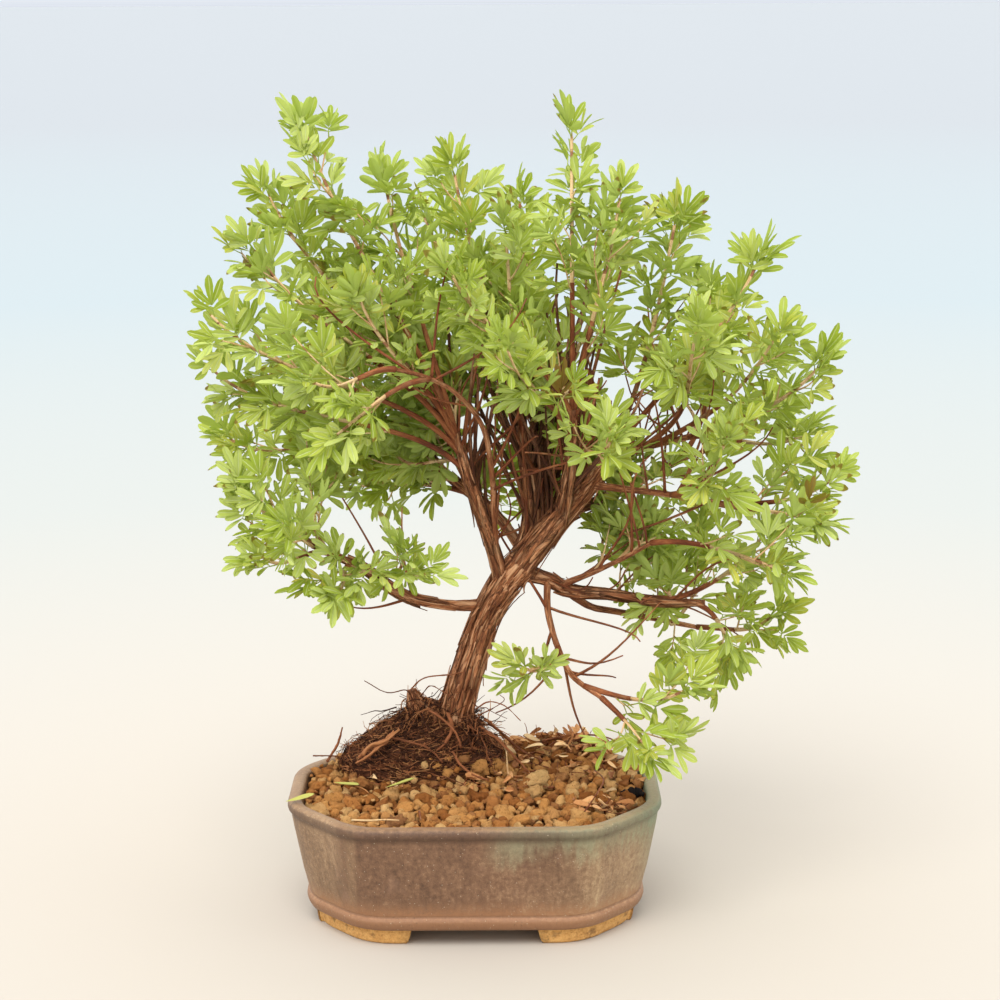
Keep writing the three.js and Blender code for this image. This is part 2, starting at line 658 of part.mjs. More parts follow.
// The leafy end of a shoot: its stem, with leaves set round it in turn, each turned clear of what is there.
function spray(curve, owner) {
  const length = curve.getLength();
  const from = LEAFY_FROM + GAP / length;
  const parts = [stem(curve, from, 1, SHOOT_SIDES, LEAFY_STEPS, shootRadius)];
  const wanted = Math.round((length * (1 - from)) / LEAF_SPACING);
  const count = THREE.MathUtils.clamp(wanted, FEWEST_LEAVES, MOST_LEAVES);
  const firstTurn = 360 * draw(owner, 5) + (TURNED_ON[owner] ?? 0);
  for (let i = 0; i < count; i++) {
    const station = from + (1 - from) * ((i + FIRST_LEAF) / (count - 1 + FIRST_LEAF));
    const along = curve.getTangent(station);
    const side = new THREE.Vector3(0, 1, 0).cross(along).normalize();
    const isLast = i === count - 1;
    const degrees = isLast ? TIP_LEAN : THREE.MathUtils.lerp(LOWEST_LEAN, HIGHEST_LEAN, i / (count - 1));
    const lean = THREE.MathUtils.degToRad(degrees);
    for (let attempt = 0; attempt < LEAF_TRIES; attempt++) {
      const degreesRound = firstTurn + GOLDEN_ANGLE * i + RETRY_TURN * attempt;
      const outward = side.clone().applyAxisAngle(along, THREE.MathUtils.degToRad(degreesRound));
      const axis = along.clone().multiplyScalar(Math.cos(lean)).addScaledVector(outward, Math.sin(lean));
      const facing = along.clone().addScaledVector(axis, -along.dot(axis)).normalize();
      facing.applyAxisAngle(axis, THREE.MathUtils.degToRad(LEAF_ROLL * (draw(owner, i, 6) - 0.5)));
      const across = axis.clone().cross(facing).normalize();
      const placed = new THREE.Matrix4().makeBasis(across, axis, facing);
      placed.setPosition(curve.getPoint(station));
      const [shape, room] = i % 2 ? [threeLeaf, threeLeafRoom] : [fiveLeaf, fiveLeafRoom];
      const leaf = solidOf(shape.clone().applyMatrix4(placed));
      if (!isClear(solidOf(room.clone().applyMatrix4(placed)), owner)) continue;
      parts.push(leaf);
      break;
    }
  }
  return parts;
}

addPiece("pot", pot(), MATERIALS.glaze);
DRAIN_PLACES.forEach((x) => {
  addPiece(`drainage_screen_${x < 0 ? "left" : "right"}`, drainageScreen(x), MATERIALS.screen);
});
addPiece("soil", soil(matForm(GAP, 0)), MATERIALS.soil);

const footOfTree = joined([limb("trunk", GAP), limb("root_crown", GAP)]);
addPiece("root_mat", matForm(0, MAT_UNEVENNESS).subtract(footOfTree), MATERIALS.roots);

const curves = SHOOTS.map(shootCurve);
const limbs = Object.keys(LIMBS).map((name) => limb(name));
const twigs = curves.map((curve) => {
  const steps = Math.max(2, Math.round((LEAFY_FROM * curve.getLength()) / SHOOT_STEP));
  return stem(curve, 0, LEAFY_FROM, SHOOT_SIDES, steps, shootRadius);
});
[...limbs, ...twigs].forEach((solid) => occupy(solid, 0));
addPiece("trunk", joined([...limbs, ...twigs]), MATERIALS.bark);

curves.forEach((curve, i) => {
  const parts = spray(curve, i + 1);
  parts.forEach((solid) => occupy(solid, i + 1));
  addPiece(`spray_${String(i + 1).padStart(2, "0")}`, joined(parts), MATERIALS.leaf);
});

// The group's own origin is the middle of the whole part's box, on the ground.
const box = new THREE.Box3().setFromObject(bonsai, true);
bonsai.position.set(-(box.min.x + box.max.x) / 2, -(box.min.y + box.max.y) / 2, -box.min.z);

export default bonsai;
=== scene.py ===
# %% [markdown]
# # A shrubby cinquefoil bonsai in its glazed pot
# The tree is a small old shrub. Its trunk slants up from a mat of fine roots and splits into many thin
# stems, each with leaves of five narrow leaflets. The pot is stoneware with a mottled glaze and bare feet.
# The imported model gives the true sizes. Everything here is made over it in the same place: first the
# helpers, then the pot, the soil, the roots, the wood and the leaves, and last the light and the camera.

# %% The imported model
import json
import math
import random

import bmesh
import bpy
from mathutils import Matrix, Vector, noise

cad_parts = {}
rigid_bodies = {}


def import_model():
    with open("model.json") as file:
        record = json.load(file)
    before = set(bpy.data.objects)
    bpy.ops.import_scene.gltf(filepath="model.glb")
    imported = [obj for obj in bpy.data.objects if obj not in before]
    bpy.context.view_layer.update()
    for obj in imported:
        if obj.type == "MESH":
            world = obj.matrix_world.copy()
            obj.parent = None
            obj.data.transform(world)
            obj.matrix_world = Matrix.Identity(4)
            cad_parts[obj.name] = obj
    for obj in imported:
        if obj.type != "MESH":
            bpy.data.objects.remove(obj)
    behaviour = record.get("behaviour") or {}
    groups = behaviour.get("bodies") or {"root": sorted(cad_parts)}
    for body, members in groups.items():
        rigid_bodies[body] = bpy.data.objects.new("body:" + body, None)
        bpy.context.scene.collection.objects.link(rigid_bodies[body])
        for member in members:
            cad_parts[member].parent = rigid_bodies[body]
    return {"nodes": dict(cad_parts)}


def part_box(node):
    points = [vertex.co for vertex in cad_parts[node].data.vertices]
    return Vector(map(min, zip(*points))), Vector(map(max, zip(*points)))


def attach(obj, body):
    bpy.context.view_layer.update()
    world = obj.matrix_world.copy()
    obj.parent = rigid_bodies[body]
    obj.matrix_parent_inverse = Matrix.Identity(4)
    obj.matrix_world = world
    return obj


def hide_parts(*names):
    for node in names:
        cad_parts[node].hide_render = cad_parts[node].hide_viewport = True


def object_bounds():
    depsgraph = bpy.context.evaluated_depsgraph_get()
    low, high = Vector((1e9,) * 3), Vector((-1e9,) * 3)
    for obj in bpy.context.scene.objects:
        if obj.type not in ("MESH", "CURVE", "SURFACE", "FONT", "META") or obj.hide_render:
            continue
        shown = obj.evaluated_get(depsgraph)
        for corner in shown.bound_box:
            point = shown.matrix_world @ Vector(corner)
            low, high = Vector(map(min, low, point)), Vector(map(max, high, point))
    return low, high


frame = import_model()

cad_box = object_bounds()
print("nodes in the packed model:", len(frame["nodes"]))

# %% [markdown]
# Lengths are written in millimetres about the middle of the pot, on the ground, because that is how one
# would measure the real tree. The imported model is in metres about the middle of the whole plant, so one
# matrix takes each finished piece from the first to the second.

# %% From millimetres about the pot to the frame
MM = 0.001
pot_low, pot_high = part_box("pot")
POT_MIDDLE = ((pot_low + pot_high) / 2).to_2d().to_3d()
TO_FRAME = Matrix.Translation(POT_MIDDLE) @ Matrix.Scale(MM, 4)


def in_frame(x, y, z):
    return TO_FRAME @ Vector((x, y, z))


def mesh_of(bm, name):
    """Turns a bmesh into a mesh, and frees the bmesh."""
    mesh = bpy.data.meshes.new(name)
    bm.to_mesh(mesh)
    bm.free()
    return mesh


def add_piece(name, bm, materials, replaced=()):
    """Makes an object of a bmesh in millimetres, puts it on the root body, and hides the parts it replaces.
    """
    mesh = mesh_of(bm, name)
    mesh.transform(TO_FRAME)
    for material in materials:
        mesh.materials.append(material)
    piece = bpy.data.objects.new(name, mesh)
    bpy.context.scene.collection.objects.link(piece)
    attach(piece, "root")
    if replaced:
        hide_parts(*replaced)
    mesh.calc_loop_triangles()
    print(name, len(mesh.loop_triangles), "triangles")
    return piece


def smooth(bm, faces=None):
    for face in faces or bm.faces:
        face.smooth = True


# %% [markdown]
# Nearly every form on this plant is a tube: a stem, a root, the pot itself. So one helper adds a cylinder
# with rings cut round it, and asks a function where each corner goes. Bending a ready-made cylinder keeps
# its faces closed and turned outwards, and saves writing lists of faces.

# %% A tube that is bent into place
tube_patterns = {}


def tube_pattern(sides, steps):
    """A plain tube, with the turn and ring number of each of its corners."""
    if (sides, steps) not in tube_patterns:
        plain = bmesh.new()
        bmesh.ops.create_cone(plain, cap_ends=True, segments=sides, radius1=1, radius2=1, depth=1)
        upright = [e for e in plain.edges if abs(e.verts[0].co.z - e.verts[1].co.z) > 0.5]
        if steps > 1:
            bmesh.ops.subdivide_edges(plain, edges=upright, cuts=steps - 1, use_grid_fill=True)
        mesh = mesh_of(plain, "tube_pattern")
        numbers = []
        for vert in mesh.vertices:
            angle = math.atan2(vert.co.y, vert.co.x) % math.tau
            numbers.append((round(angle * sides / math.tau) % sides, round((vert.co.z + 0.5) * steps)))
        tube_patterns[sides, steps] = (mesh, numbers)
    return tube_patterns[sides, steps]


def add_tube(bm, sides, steps, where):
    """Adds a closed tube with its corners at where(turn, ring), and gives back corners and numbers."""
    mesh, numbers = tube_pattern(sides, steps)
    start = len(bm.verts)
    bm.from_mesh(mesh)
    bm.verts.ensure_lookup_table()
    made = list(zip(bm.verts[start:], numbers))
    for vert, (turn, ring) in made:
        vert.co = where(turn, ring)
    return made


# %% [markdown]
# A finish is a node tree. Written as node after node it is hard to read, so a small class holds a socket
# and lets Python's own signs add the Math nodes: `1 - mask` or `height * 0.4 + grain`.

# %% Shader sums in Python
class Value:
    """One output of a node, for use in sums."""

    def __init__(self, finish, socket):
        self.finish = finish
        self.socket = socket

    def sum(self, operation, first, second=0.0, clamp=False):
        settings = {"operation": operation, "use_clamp": clamp}
        return self.finish.node("ShaderNodeMath", settings, {0: first, 1: second})

    def __add__(self, other):
        return self.sum("ADD", self, other)

    def __sub__(self, other):
        return self.sum("SUBTRACT", self, other)

    def __rsub__(self, other):
        return self.sum("SUBTRACT", other, self)

    def __mul__(self, other):
        return self.sum("MULTIPLY", self, other)

    def __truediv__(self, other):
        return self.sum("DIVIDE", self, other)

    __radd__ = __add__
    __rmul__ = __mul__

    def abs(self):
        return self.sum("ABSOLUTE", self)

    def root(self):
        return self.sum("SQRT", self)

    def clamped(self):
        return self.sum("ADD", self, 0.0, clamp=True)


print("sums are ready: + - * / abs root clamped")

# %% [markdown]
# Every other node comes from one method of a second class. It takes the node's type, its settings and what
# its sockets are fed. The methods after it are short words for the nodes that these finishes use most, such
# as a cloud of noise, a mask between two limits, or a relief.

# %% A finish and its nodes
class Finish:
    """A material and the short words that build it."""

    def __init__(self, name, **constants):
        self.material = bpy.data.materials.new(name)
        self.material.use_nodes = True
        self.tree = self.material.node_tree
        self.surface = self.tree.nodes["Principled BSDF"]
        for name, value in constants.items():
            self.surface.inputs[name.replace("_", " ")].default_value = value

    def node(self, kind, settings=None, inputs=None, output=0):
        """Adds a node, sets it, feeds its sockets, and gives back one of its outputs."""
        node = self.tree.nodes.new(kind)
        settings = dict(settings or {})
        stops = settings.pop("stops", None)
        for name, value in settings.items():
            setattr(node, name, value)
        if stops:
            while len(node.color_ramp.elements) < len(stops):
                node.color_ramp.elements.new(1)
            for element, (position, colour) in zip(node.color_ramp.elements, stops):
                element.position = position
                element.color = (*colour, 1)
        for name, value in (inputs or {}).items():
            self.feed(node.inputs[name], value)
        return Value(self, node.outputs[output])

    def feed(self, socket, value):
        if isinstance(value, Value):
            self.tree.links.new(value.socket, socket)
        else:
            socket.default_value = value

    def places(self, stretch=(1, 1, 1)):
        """Object coordinates as millimetres about the pot's middle, stretched along each axis."""
        whole = self.node("ShaderNodeTexCoord", output="Object")
        scale = [part / MM for part in stretch]
        shift = [-middle * part for middle, part in zip(POT_MIDDLE, scale)]
        return self.node("ShaderNodeMapping", {}, {"Vector": whole, "Location": shift, "Scale": scale})

    def stretched(self, vector, stretch):
        return self.node("ShaderNodeVectorMath", {"operation": "MULTIPLY"}, {0: vector, 1: stretch})

    def attribute(self, name, output="Fac"):
        return self.node("ShaderNodeAttribute", {"attribute_name": name}, output=output)

    def parts(self, vector):
        """The three parts of a vector."""
        split = self.node("ShaderNodeSeparateXYZ", {}, {"Vector": vector})
        return [split, *(Value(self, split.socket.node.outputs[i]) for i in (1, 2))]

    def cloud(self, vector, scale, detail=3.0, roughness=0.55, distortion=0.0):
        """Soft noise from 0 to 1, with `scale` features to each unit of the vector."""
        inputs = {"Vector": vector, "Scale": scale, "Detail": detail, "Roughness": roughness}
        inputs["Distortion"] = distortion
        return self.node("ShaderNodeTexNoise", {}, inputs)

    def cells(self, vector, scale):
        """The distance to the nearest of many scattered points."""
        return self.node("ShaderNodeTexVoronoi", {}, {"Vector": vector, "Scale": scale})

    def ramp(self, value, low, high, soft=True):
        """A mask that goes from 0 to 1 as the value goes from low to high, which may be the smaller."""
        settings = {"interpolation_type": "SMOOTHSTEP" if soft else "LINEAR"}
        return self.node("ShaderNodeMapRange", settings, {"Value": value, "From Min": low, "From Max": high})

    def colours(self, value, *stops):
        """A colour read off a row of stops, each a place from 0 to 1 and a colour."""
        return self.node("ShaderNodeValToRGB", {"stops": stops}, {"Fac": value})

    def mix(self, share, first, second):
        """Two colours mixed by a share from 0 for the first to 1 for the second."""
        first, second = ((*c, 1) if isinstance(c, tuple) else c for c in (first, second))
        inputs = {0: share, 6: first, 7: second}
        return self.node("ShaderNodeMix", {"data_type": "RGBA"}, inputs, output=2)

    def relief(self, height, depth):
        """A Bump node from a height of 0 to 1, with its depth in millimetres."""
        inputs = {"Height": height, "Distance": depth * MM, "Strength": 1}
        return self.node("ShaderNodeBump", {}, inputs)

    def wear(self, colour, roughness, normal=None):
        """Feeds the surface and gives back the material."""
        self.feed(self.surface.inputs["Base Color"], colour)
        self.feed(self.surface.inputs["Roughness"], roughness)
        if normal:
            self.feed(self.surface.inputs["Normal"], normal)
        return self.material

    def let_light_through(self, colour, share):
        """Mixes in a thin sheet that lets light through in a colour, and gives back the material."""
        sheet = self.node("ShaderNodeBsdfTranslucent", {}, {"Color": colour})
        surface = Value(self, self.surface.outputs[0])
        both = self.node("ShaderNodeMixShader", {}, {0: share, 1: surface, 2: sheet})
        self.feed(self.tree.nodes["Material Output"].inputs["Surface"], both)
        return self.material


def srgb(red, green, blue):
    """A colour as the eye reads it, from 0 to 255, as the linear light that a shader needs."""
    return tuple(((part / 255 + 0.055) / 1.055) ** 2.4 for part in (red, green, blue))


print("middle grey as light:", round(srgb(128, 128, 128)[0], 3))

# %% [markdown]
# ## The pot
# The pot is one piece of stoneware: a rectangle with its four corners cut back and eased, walls that
# flare a little, a rolled lip, a belt round the foot and four corner feet. Its plan changes only by an
# inset as one goes up, so one outline and a list of insets and heights describe it. Each corner of the
# outline is a short curve, drawn by the same rule as the solid model's but with more points.

# %% The pot's plan
POT_WIDTH, POT_DEPTH = 160, 128
CORNER_CUT_ACROSS, CORNER_CUT_DEEP, CORNER_EASE = 29, 36, 12
FOOT_HEIGHT, FLOOR_TOP = 7, 13
RIM_WALL, INNER_TAPER = 6, 7.5


def curve_point(start, middle, end, share):
    """A point on the curve that leaves start towards middle and comes from there to end."""
    first = start.lerp(middle, share)
    return first.lerp(middle.lerp(end, share), share)


def pot_outline(inset, corner_points=7):
    """The plan at an inset, as points that run anticlockwise from the right."""
    across, deep = POT_WIDTH / 2 - inset, POT_DEPTH / 2 - inset
    slopes = 1 / CORNER_CUT_ACROSS, 1 / CORNER_CUT_DEEP
    shrink = 1 - inset * (sum(slopes) - math.hypot(*slopes))
    flat_across = across - CORNER_CUT_ACROSS * shrink
    flat_deep = deep - CORNER_CUT_DEEP * shrink
    quarter = [Vector((across, flat_deep)), Vector((flat_across, deep))]
    left = [Vector((-x, y)) for x, y in reversed(quarter)]
    corners = quarter + left + [-corner for corner in quarter + left]
    points = []
    for i, corner in enumerate(corners):
        before, after = corners[i - 1] - corner, corners[(i + 1) % len(corners)] - corner
        start = corner + before.normalized() * CORNER_EASE
        end = corner + after.normalized() * CORNER_EASE
        shares = [step / (corner_points - 1) for step in range(corner_points)]
        points += [curve_point(start, corner, end, share) for share in shares]
    return points


print("points round the pot:", len(pot_outline(0)))

# %% [markdown]
# The section below is a row of insets and heights. It is read from the underside, out round the belt, up
# the wall, over the lip and down inside. The clay was worked by hand, so the wall waves by a few tenths of a
# millimetre. The two drain holes are cut by filling the underside and the floor round two circles, and
# bridging them.

# %% The pot's body
DRAIN_RADIUS, DRAIN_SIDES, DRAIN_PLACES = 7, 28, (-32, 32)
UNDERSIDE = [(10.8, 7), (9.4, 7.2), (8.5, 7.7), (8, 8.6)]
BELT = [(7.5, 9.9), (7.3, 11), (7.45, 12), (8.2, 12.7), (8.6, 13.2), (8.4, 14), (7.9, 15.3)]
WALL = [(7.1, 19), (5.9, 24), (4.7, 30), (3.5, 36), (2.4, 42), (1.7, 46.4), (1.5, 48.2)]
LIP_OUTSIDE = [(0.9, 49.2), (0.25, 50), (0, 50.8), (0, 51.8), (0.25, 52.8), (0.8, 53.5), (1.6, 53.9)]
LIP_INSIDE = [(2.8, 54), (4.1, 53.95), (5.1, 53.6), (5.8, 52.8), (6.2, 51)]
INSIDE = [(7.2, 44), (9.2, 32), (11.8, 19), (13.5, 16), (14.6, 14), (16.5, 13)]
POT_SECTION = UNDERSIDE + BELT + WALL + LIP_OUTSIDE + LIP_INSIDE + INSIDE
HAND_WAVE, WAVE_LENGTH = 0.35, 26


def pot_corner(turn, ring):
    inset, height = POT_SECTION[ring]
    x, y = outlines[ring][turn]
    wave = HAND_WAVE * noise.noise(Vector((x, y, height * 1.5)) / WAVE_LENGTH)
    wave = wave * min(1, (height - FOOT_HEIGHT) / 8)
    return Vector((x, y, height)) + Vector((x, y, 0)).normalized() * wave


def floor_with_drains(bm, ring_edges, height):
    """Fills the floor inside a ring of edges, round the drain holes. Gives back the holes' edges."""
    holes = []
    for x in DRAIN_PLACES:
        there = Matrix.Translation((x, 0, height))
        drain = bmesh.ops.create_circle(bm, segments=DRAIN_SIDES, radius=DRAIN_RADIUS, matrix=there)
        holes.append(list({edge for vert in drain["verts"] for edge in vert.link_edges}))
    edges = ring_edges + [edge for hole in holes for edge in hole]
    bmesh.ops.triangle_fill(bm, use_beauty=True, edges=edges)
    return holes


bm = bmesh.new()
outlines = [[tuple(point) for point in pot_outline(inset)] for inset, _ in POT_SECTION]
add_tube(bm, len(outlines[0]), len(POT_SECTION) - 1, pot_corner)
caps = [face for face in bm.faces if len(face.verts) > 4]
rims = [(list(cap.edges), cap.calc_center_median().z) for cap in caps]
bmesh.ops.delete(bm, geom=caps, context="FACES_ONLY")
(under_a, under_b), (floor_a, floor_b) = [floor_with_drains(bm, edges, z) for edges, z in rims]
for lower, upper in ((under_a, floor_a), (under_b, floor_b)):
    bmesh.ops.bridge_loops(bm, edges=lower + upper)
bmesh.ops.recalc_face_normals(bm, faces=bm.faces)
print("pot body:", len(bm.faces), "faces")

# %% [markdown]
# Each foot follows its corner between two slanted ends. It is drawn as a plan of points, extruded down
# from inside the body, and drawn in a little at the ground, where the potter wiped the clay.

# %% The feet
FOOT_OUT, FOOT_IN = 11.6, 23
FOOT_GAP_LONG_SIDE, FOOT_GAP_SHORT_SIDE = 53, 40
FOOT_LEVELS = [
    {"z": 0, "draw_in": 2.1, "slant": 3},
    {"z": 0.35, "draw_in": 1.4, "slant": 2.2},
    {"z": 1.2, "draw_in": 1, "slant": 1.5},
    {"z": 3.4, "draw_in": 0.5, "slant": 0.7},
    {"z": 6.4, "draw_in": 0.1, "slant": 0},
    {"z": 9, "draw_in": 0, "slant": 0},
]


def foot_plan(z, draw_in, slant):
    """The back right foot at a height: out along its corner, and back along its inner side."""
    end_x = FOOT_GAP_LONG_SIDE / 2 + slant
    end_y = FOOT_GAP_SHORT_SIDE / 2 + slant
    plan = []
    for inset, is_inner in ((FOOT_OUT + draw_in, False), (FOOT_IN - draw_in / 3, True)):
        corner = [p for p in pot_outline(inset) if p.x > 0 and p.y > 0]
        corner = [(max(p.x, end_x), max(p.y, end_y)) for p in corner]
        side = [(POT_WIDTH / 2 - inset, end_y), *corner, (end_x, POT_DEPTH / 2 - inset)]
        plan += reversed(side) if is_inner else side
    return [Vector((x, y, z)) for x, y in plan]


plans = [foot_plan(**level) for level in FOOT_LEVELS]
for sign_x in (1, -1):
    for sign_y in (1, -1):
        flip = Vector((sign_x, sign_y, 1))
        add_tube(bm, len(plans[0]), len(plans) - 1, lambda turn, ring: plans[ring][turn] * flip)
bmesh.ops.recalc_face_normals(bm, faces=bm.faces)
smooth(bm, [face for face in bm.faces if len(face.verts) == 4])
print("pot with feet:", len(bm.faces), "faces")

# %% [markdown]
# The glaze is what makes this pot. It is a thin brown coat, mottled, and a little streaked where it ran down
# the wall, so its grain is noise of four sizes, two of them drawn out along the height. Under the lip it is
# dark, which is painted shade of the overhang. A painted highlight runs along the belt, with painted
# shade on its lower half and in the groove above it. It is tan at both ends and wherever it broke thin
# on an edge, and a second glaze left a grey green haze on the upper right and the right end. Below the
# belt the clay shows, ochre with dark stains. All of this hangs on the height and place on the pot.

# %% The glaze and the bare clay
def glaze_finish():
    glaze = Finish("streaked_glaze", Specular_IOR_Level=0.5, Coat_Roughness=0.25)
    here = glaze.places()
    x, y, z = glaze.parts(here)
    runs = glaze.cloud(glaze.places((1, 1, 0.09)), 0.42, detail=6, roughness=0.62)
    broad = glaze.cloud(glaze.places((1, 1, 0.5)), 0.045, detail=3)
    mottle = glaze.cloud(here, 0.5, detail=5, roughness=0.65)
    fine = glaze.cloud(here, 2.6, detail=3, roughness=0.6)
    grain = runs * 0.2 + mottle * 0.36 + broad * 0.22 + fine * 0.22
    body = glaze.colours(
        grain,
        (0.36, srgb(72, 50, 34)),
        (0.46, srgb(100, 71, 50)),
        (0.54, srgb(120, 88, 64)),
        (0.64, srgb(154, 122, 92)),
    )
    tan = glaze.colours(
        grain,
        (0.38, srgb(118, 90, 62)),
        (0.5, srgb(158, 130, 97)),
        (0.62, srgb(198, 172, 134)),
    )
    tan_left = glaze.ramp(x + mottle * 12 - 6, -50, -62)
    tan_right = glaze.ramp(x + broad * 20 - 10, 16, 78)
    edges = glaze.ramp((x.abs() - 51).abs() + mottle * 4, 5.4, 2.4) * glaze.ramp(y.abs(), 46, 54)
    body = glaze.mix((tan_left * 0.5 + tan_right * 0.75 + edges * 0.3).clamped(), body, tan)
    red_low = glaze.ramp(z + mottle * 12 - 6, 22, 10.5)
    body = glaze.mix(red_low * 0.7, body, srgb(170, 122, 84))
    ragged = runs * 22 + broad * 20 + mottle * 10
    green_right = glaze.ramp(z + ragged, 62, 78) * glaze.ramp(x + broad * 50, 24, 62)
    green_end = glaze.ramp(x + mottle * 12, 70, 88) * glaze.ramp(z + ragged, 34, 66) * 0.6
    green = (green_right * 0.62 + green_end).clamped()
    body = glaze.mix(green, body, srgb(124, 134, 106))
    blushes = glaze.ramp(glaze.cloud(here, 0.09, detail=2), 0.6, 0.75) * 0.3
    body = glaze.mix(blushes, body, srgb(134, 102, 82))
    # Painted shade: the band under the overhanging lip is darkened.
    under_lip_shade = glaze.ramp(z + mottle * 4, 48.4, 51.4) * glaze.ramp(z + fine, 53.9, 52.8)
    body = glaze.mix(under_lip_shade * (0.6 - tan_right * 0.35), body, srgb(72, 49, 34))
    lip = glaze.ramp(z + mottle * 2.4 + fine, 54, 56)
    body = glaze.mix(lip * 0.5, body, srgb(152, 120, 88))
    # Painted highlight: a lighter band along the belt, broken up by the mottle.
    belt_highlight = glaze.ramp(z + mottle * 0.8, 10.4, 11.3) * glaze.ramp(z, 12.9, 12)
    body = glaze.mix(belt_highlight * glaze.ramp(mottle, 0.5, 0.62) * 0.4, body, srgb(150, 112, 80))
    # Painted shade: darker over the lower half of the belt and below it.
    body = glaze.mix(glaze.ramp(z + mottle * 6 - 3, 14.2, 11.4) * 0.5, body, srgb(104, 70, 46))
    # Painted shade: darker in the groove above the belt.
    groove_shade = glaze.ramp(z, 12.6, 13.1) * glaze.ramp(z, 14.4, 13.6)
    body = glaze.mix(groove_shade * 0.4, body, srgb(84, 58, 42))
    specks = glaze.ramp(glaze.cells(here, 0.62), 0.15, 0.09)
    specks = specks * glaze.ramp(glaze.cloud(here, 0.4, detail=1), 0.5, 0.58)
    body = glaze.mix(specks * 0.7, body, srgb(196, 180, 156))
    pits = glaze.ramp(glaze.cells(glaze.places((1, 1, 1.1)), 0.8), 0.16, 0.08)
    pits = pits * glaze.ramp(glaze.cloud(here, 0.5, detail=1), 0.5, 0.6)
    body = glaze.mix(pits * 0.8, body, srgb(52, 40, 34))
    clay_grain = glaze.cloud(here, 1.1, detail=6, roughness=0.7)
    clay = glaze.colours(
        clay_grain * 0.5 + mottle * 0.5,
        (0.3, srgb(142, 96, 50)),
        (0.48, srgb(208, 156, 88)),
        (0.68, srgb(234, 190, 122)),
    )
    stains = glaze.ramp(glaze.cloud(here, 0.16, detail=4), 0.56, 0.7)
    clay = glaze.mix(stains * 0.6, clay, srgb(92, 64, 40))
    bare = glaze.ramp(z + mottle * 1.6 + fine * 0.5, 8.4, 7.8)
    colour = glaze.mix(bare, body, clay)
    roughness = (0.44 + mottle * 0.24 + green * 0.12 + bare * 0.35).clamped()
    height = runs * 0.5 + mottle * 0.35 + fine * 0.12 - pits * 0.5 - specks * 0.1
    height = height * (1 - bare) + clay_grain * bare
    return glaze.wear(colour, roughness, glaze.relief(height, 0.8))


add_piece("fired_pot", bm, [glaze_finish()], ["pot"])

# %% [markdown]
# A square of black plastic mesh lies over each drain hole and keeps the soil in. It can be seen from under
# the pot. The solid model's plates have the right size, so each is covered by a finer grid of square bars.

# %% The drainage screens
SCREEN_PITCH, SCREEN_BAR = 3, 0.8


def screen_finish():
    plastic = Finish("black_plastic_mesh", Specular_IOR_Level=0.4)
    dust = plastic.cloud(plastic.places(), 0.6, detail=4)
    colour = plastic.mix(plastic.ramp(dust, 0.45, 0.7) * 0.5, srgb(34, 36, 34), srgb(96, 76, 52))
    return plastic.wear(colour, 0.45 + dust * 0.3, plastic.relief(dust, 0.15))


black_plastic = screen_finish()
for side in ("left", "right"):
    node = f"drainage_screen_{side}"
    low, high = (TO_FRAME.inverted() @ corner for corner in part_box(node))
    bm = bmesh.new()
    bars = round((high.x - low.x - SCREEN_BAR) / SCREEN_PITCH)
    for i in range(bars + 1):
        at = SCREEN_BAR / 2 + i * (high.x - low.x - SCREEN_BAR) / bars
        for centre, size in (
            (((low.x + high.x) / 2, low.y + at, (low.z + high.z) / 2), (high.x - low.x, SCREEN_BAR)),
            ((low.x + at, (low.y + high.y) / 2, (low.z + high.z) / 2), (SCREEN_BAR, high.y - low.y)),
        ):
            shape = Matrix.Translation(centre) @ Matrix.Diagonal((*size, high.z - low.z, 1))
            bmesh.ops.create_cube(bm, size=1, matrix=shape)
    add_piece(f"mesh_screen_{side}", bm, [black_plastic], [node])

# %% [markdown]
# ## Where the wood grows
# Each limb follows a smooth curve through a few points that were measured in the photo, with its radius
# given at even steps along it. The same points and radii make the solid model.

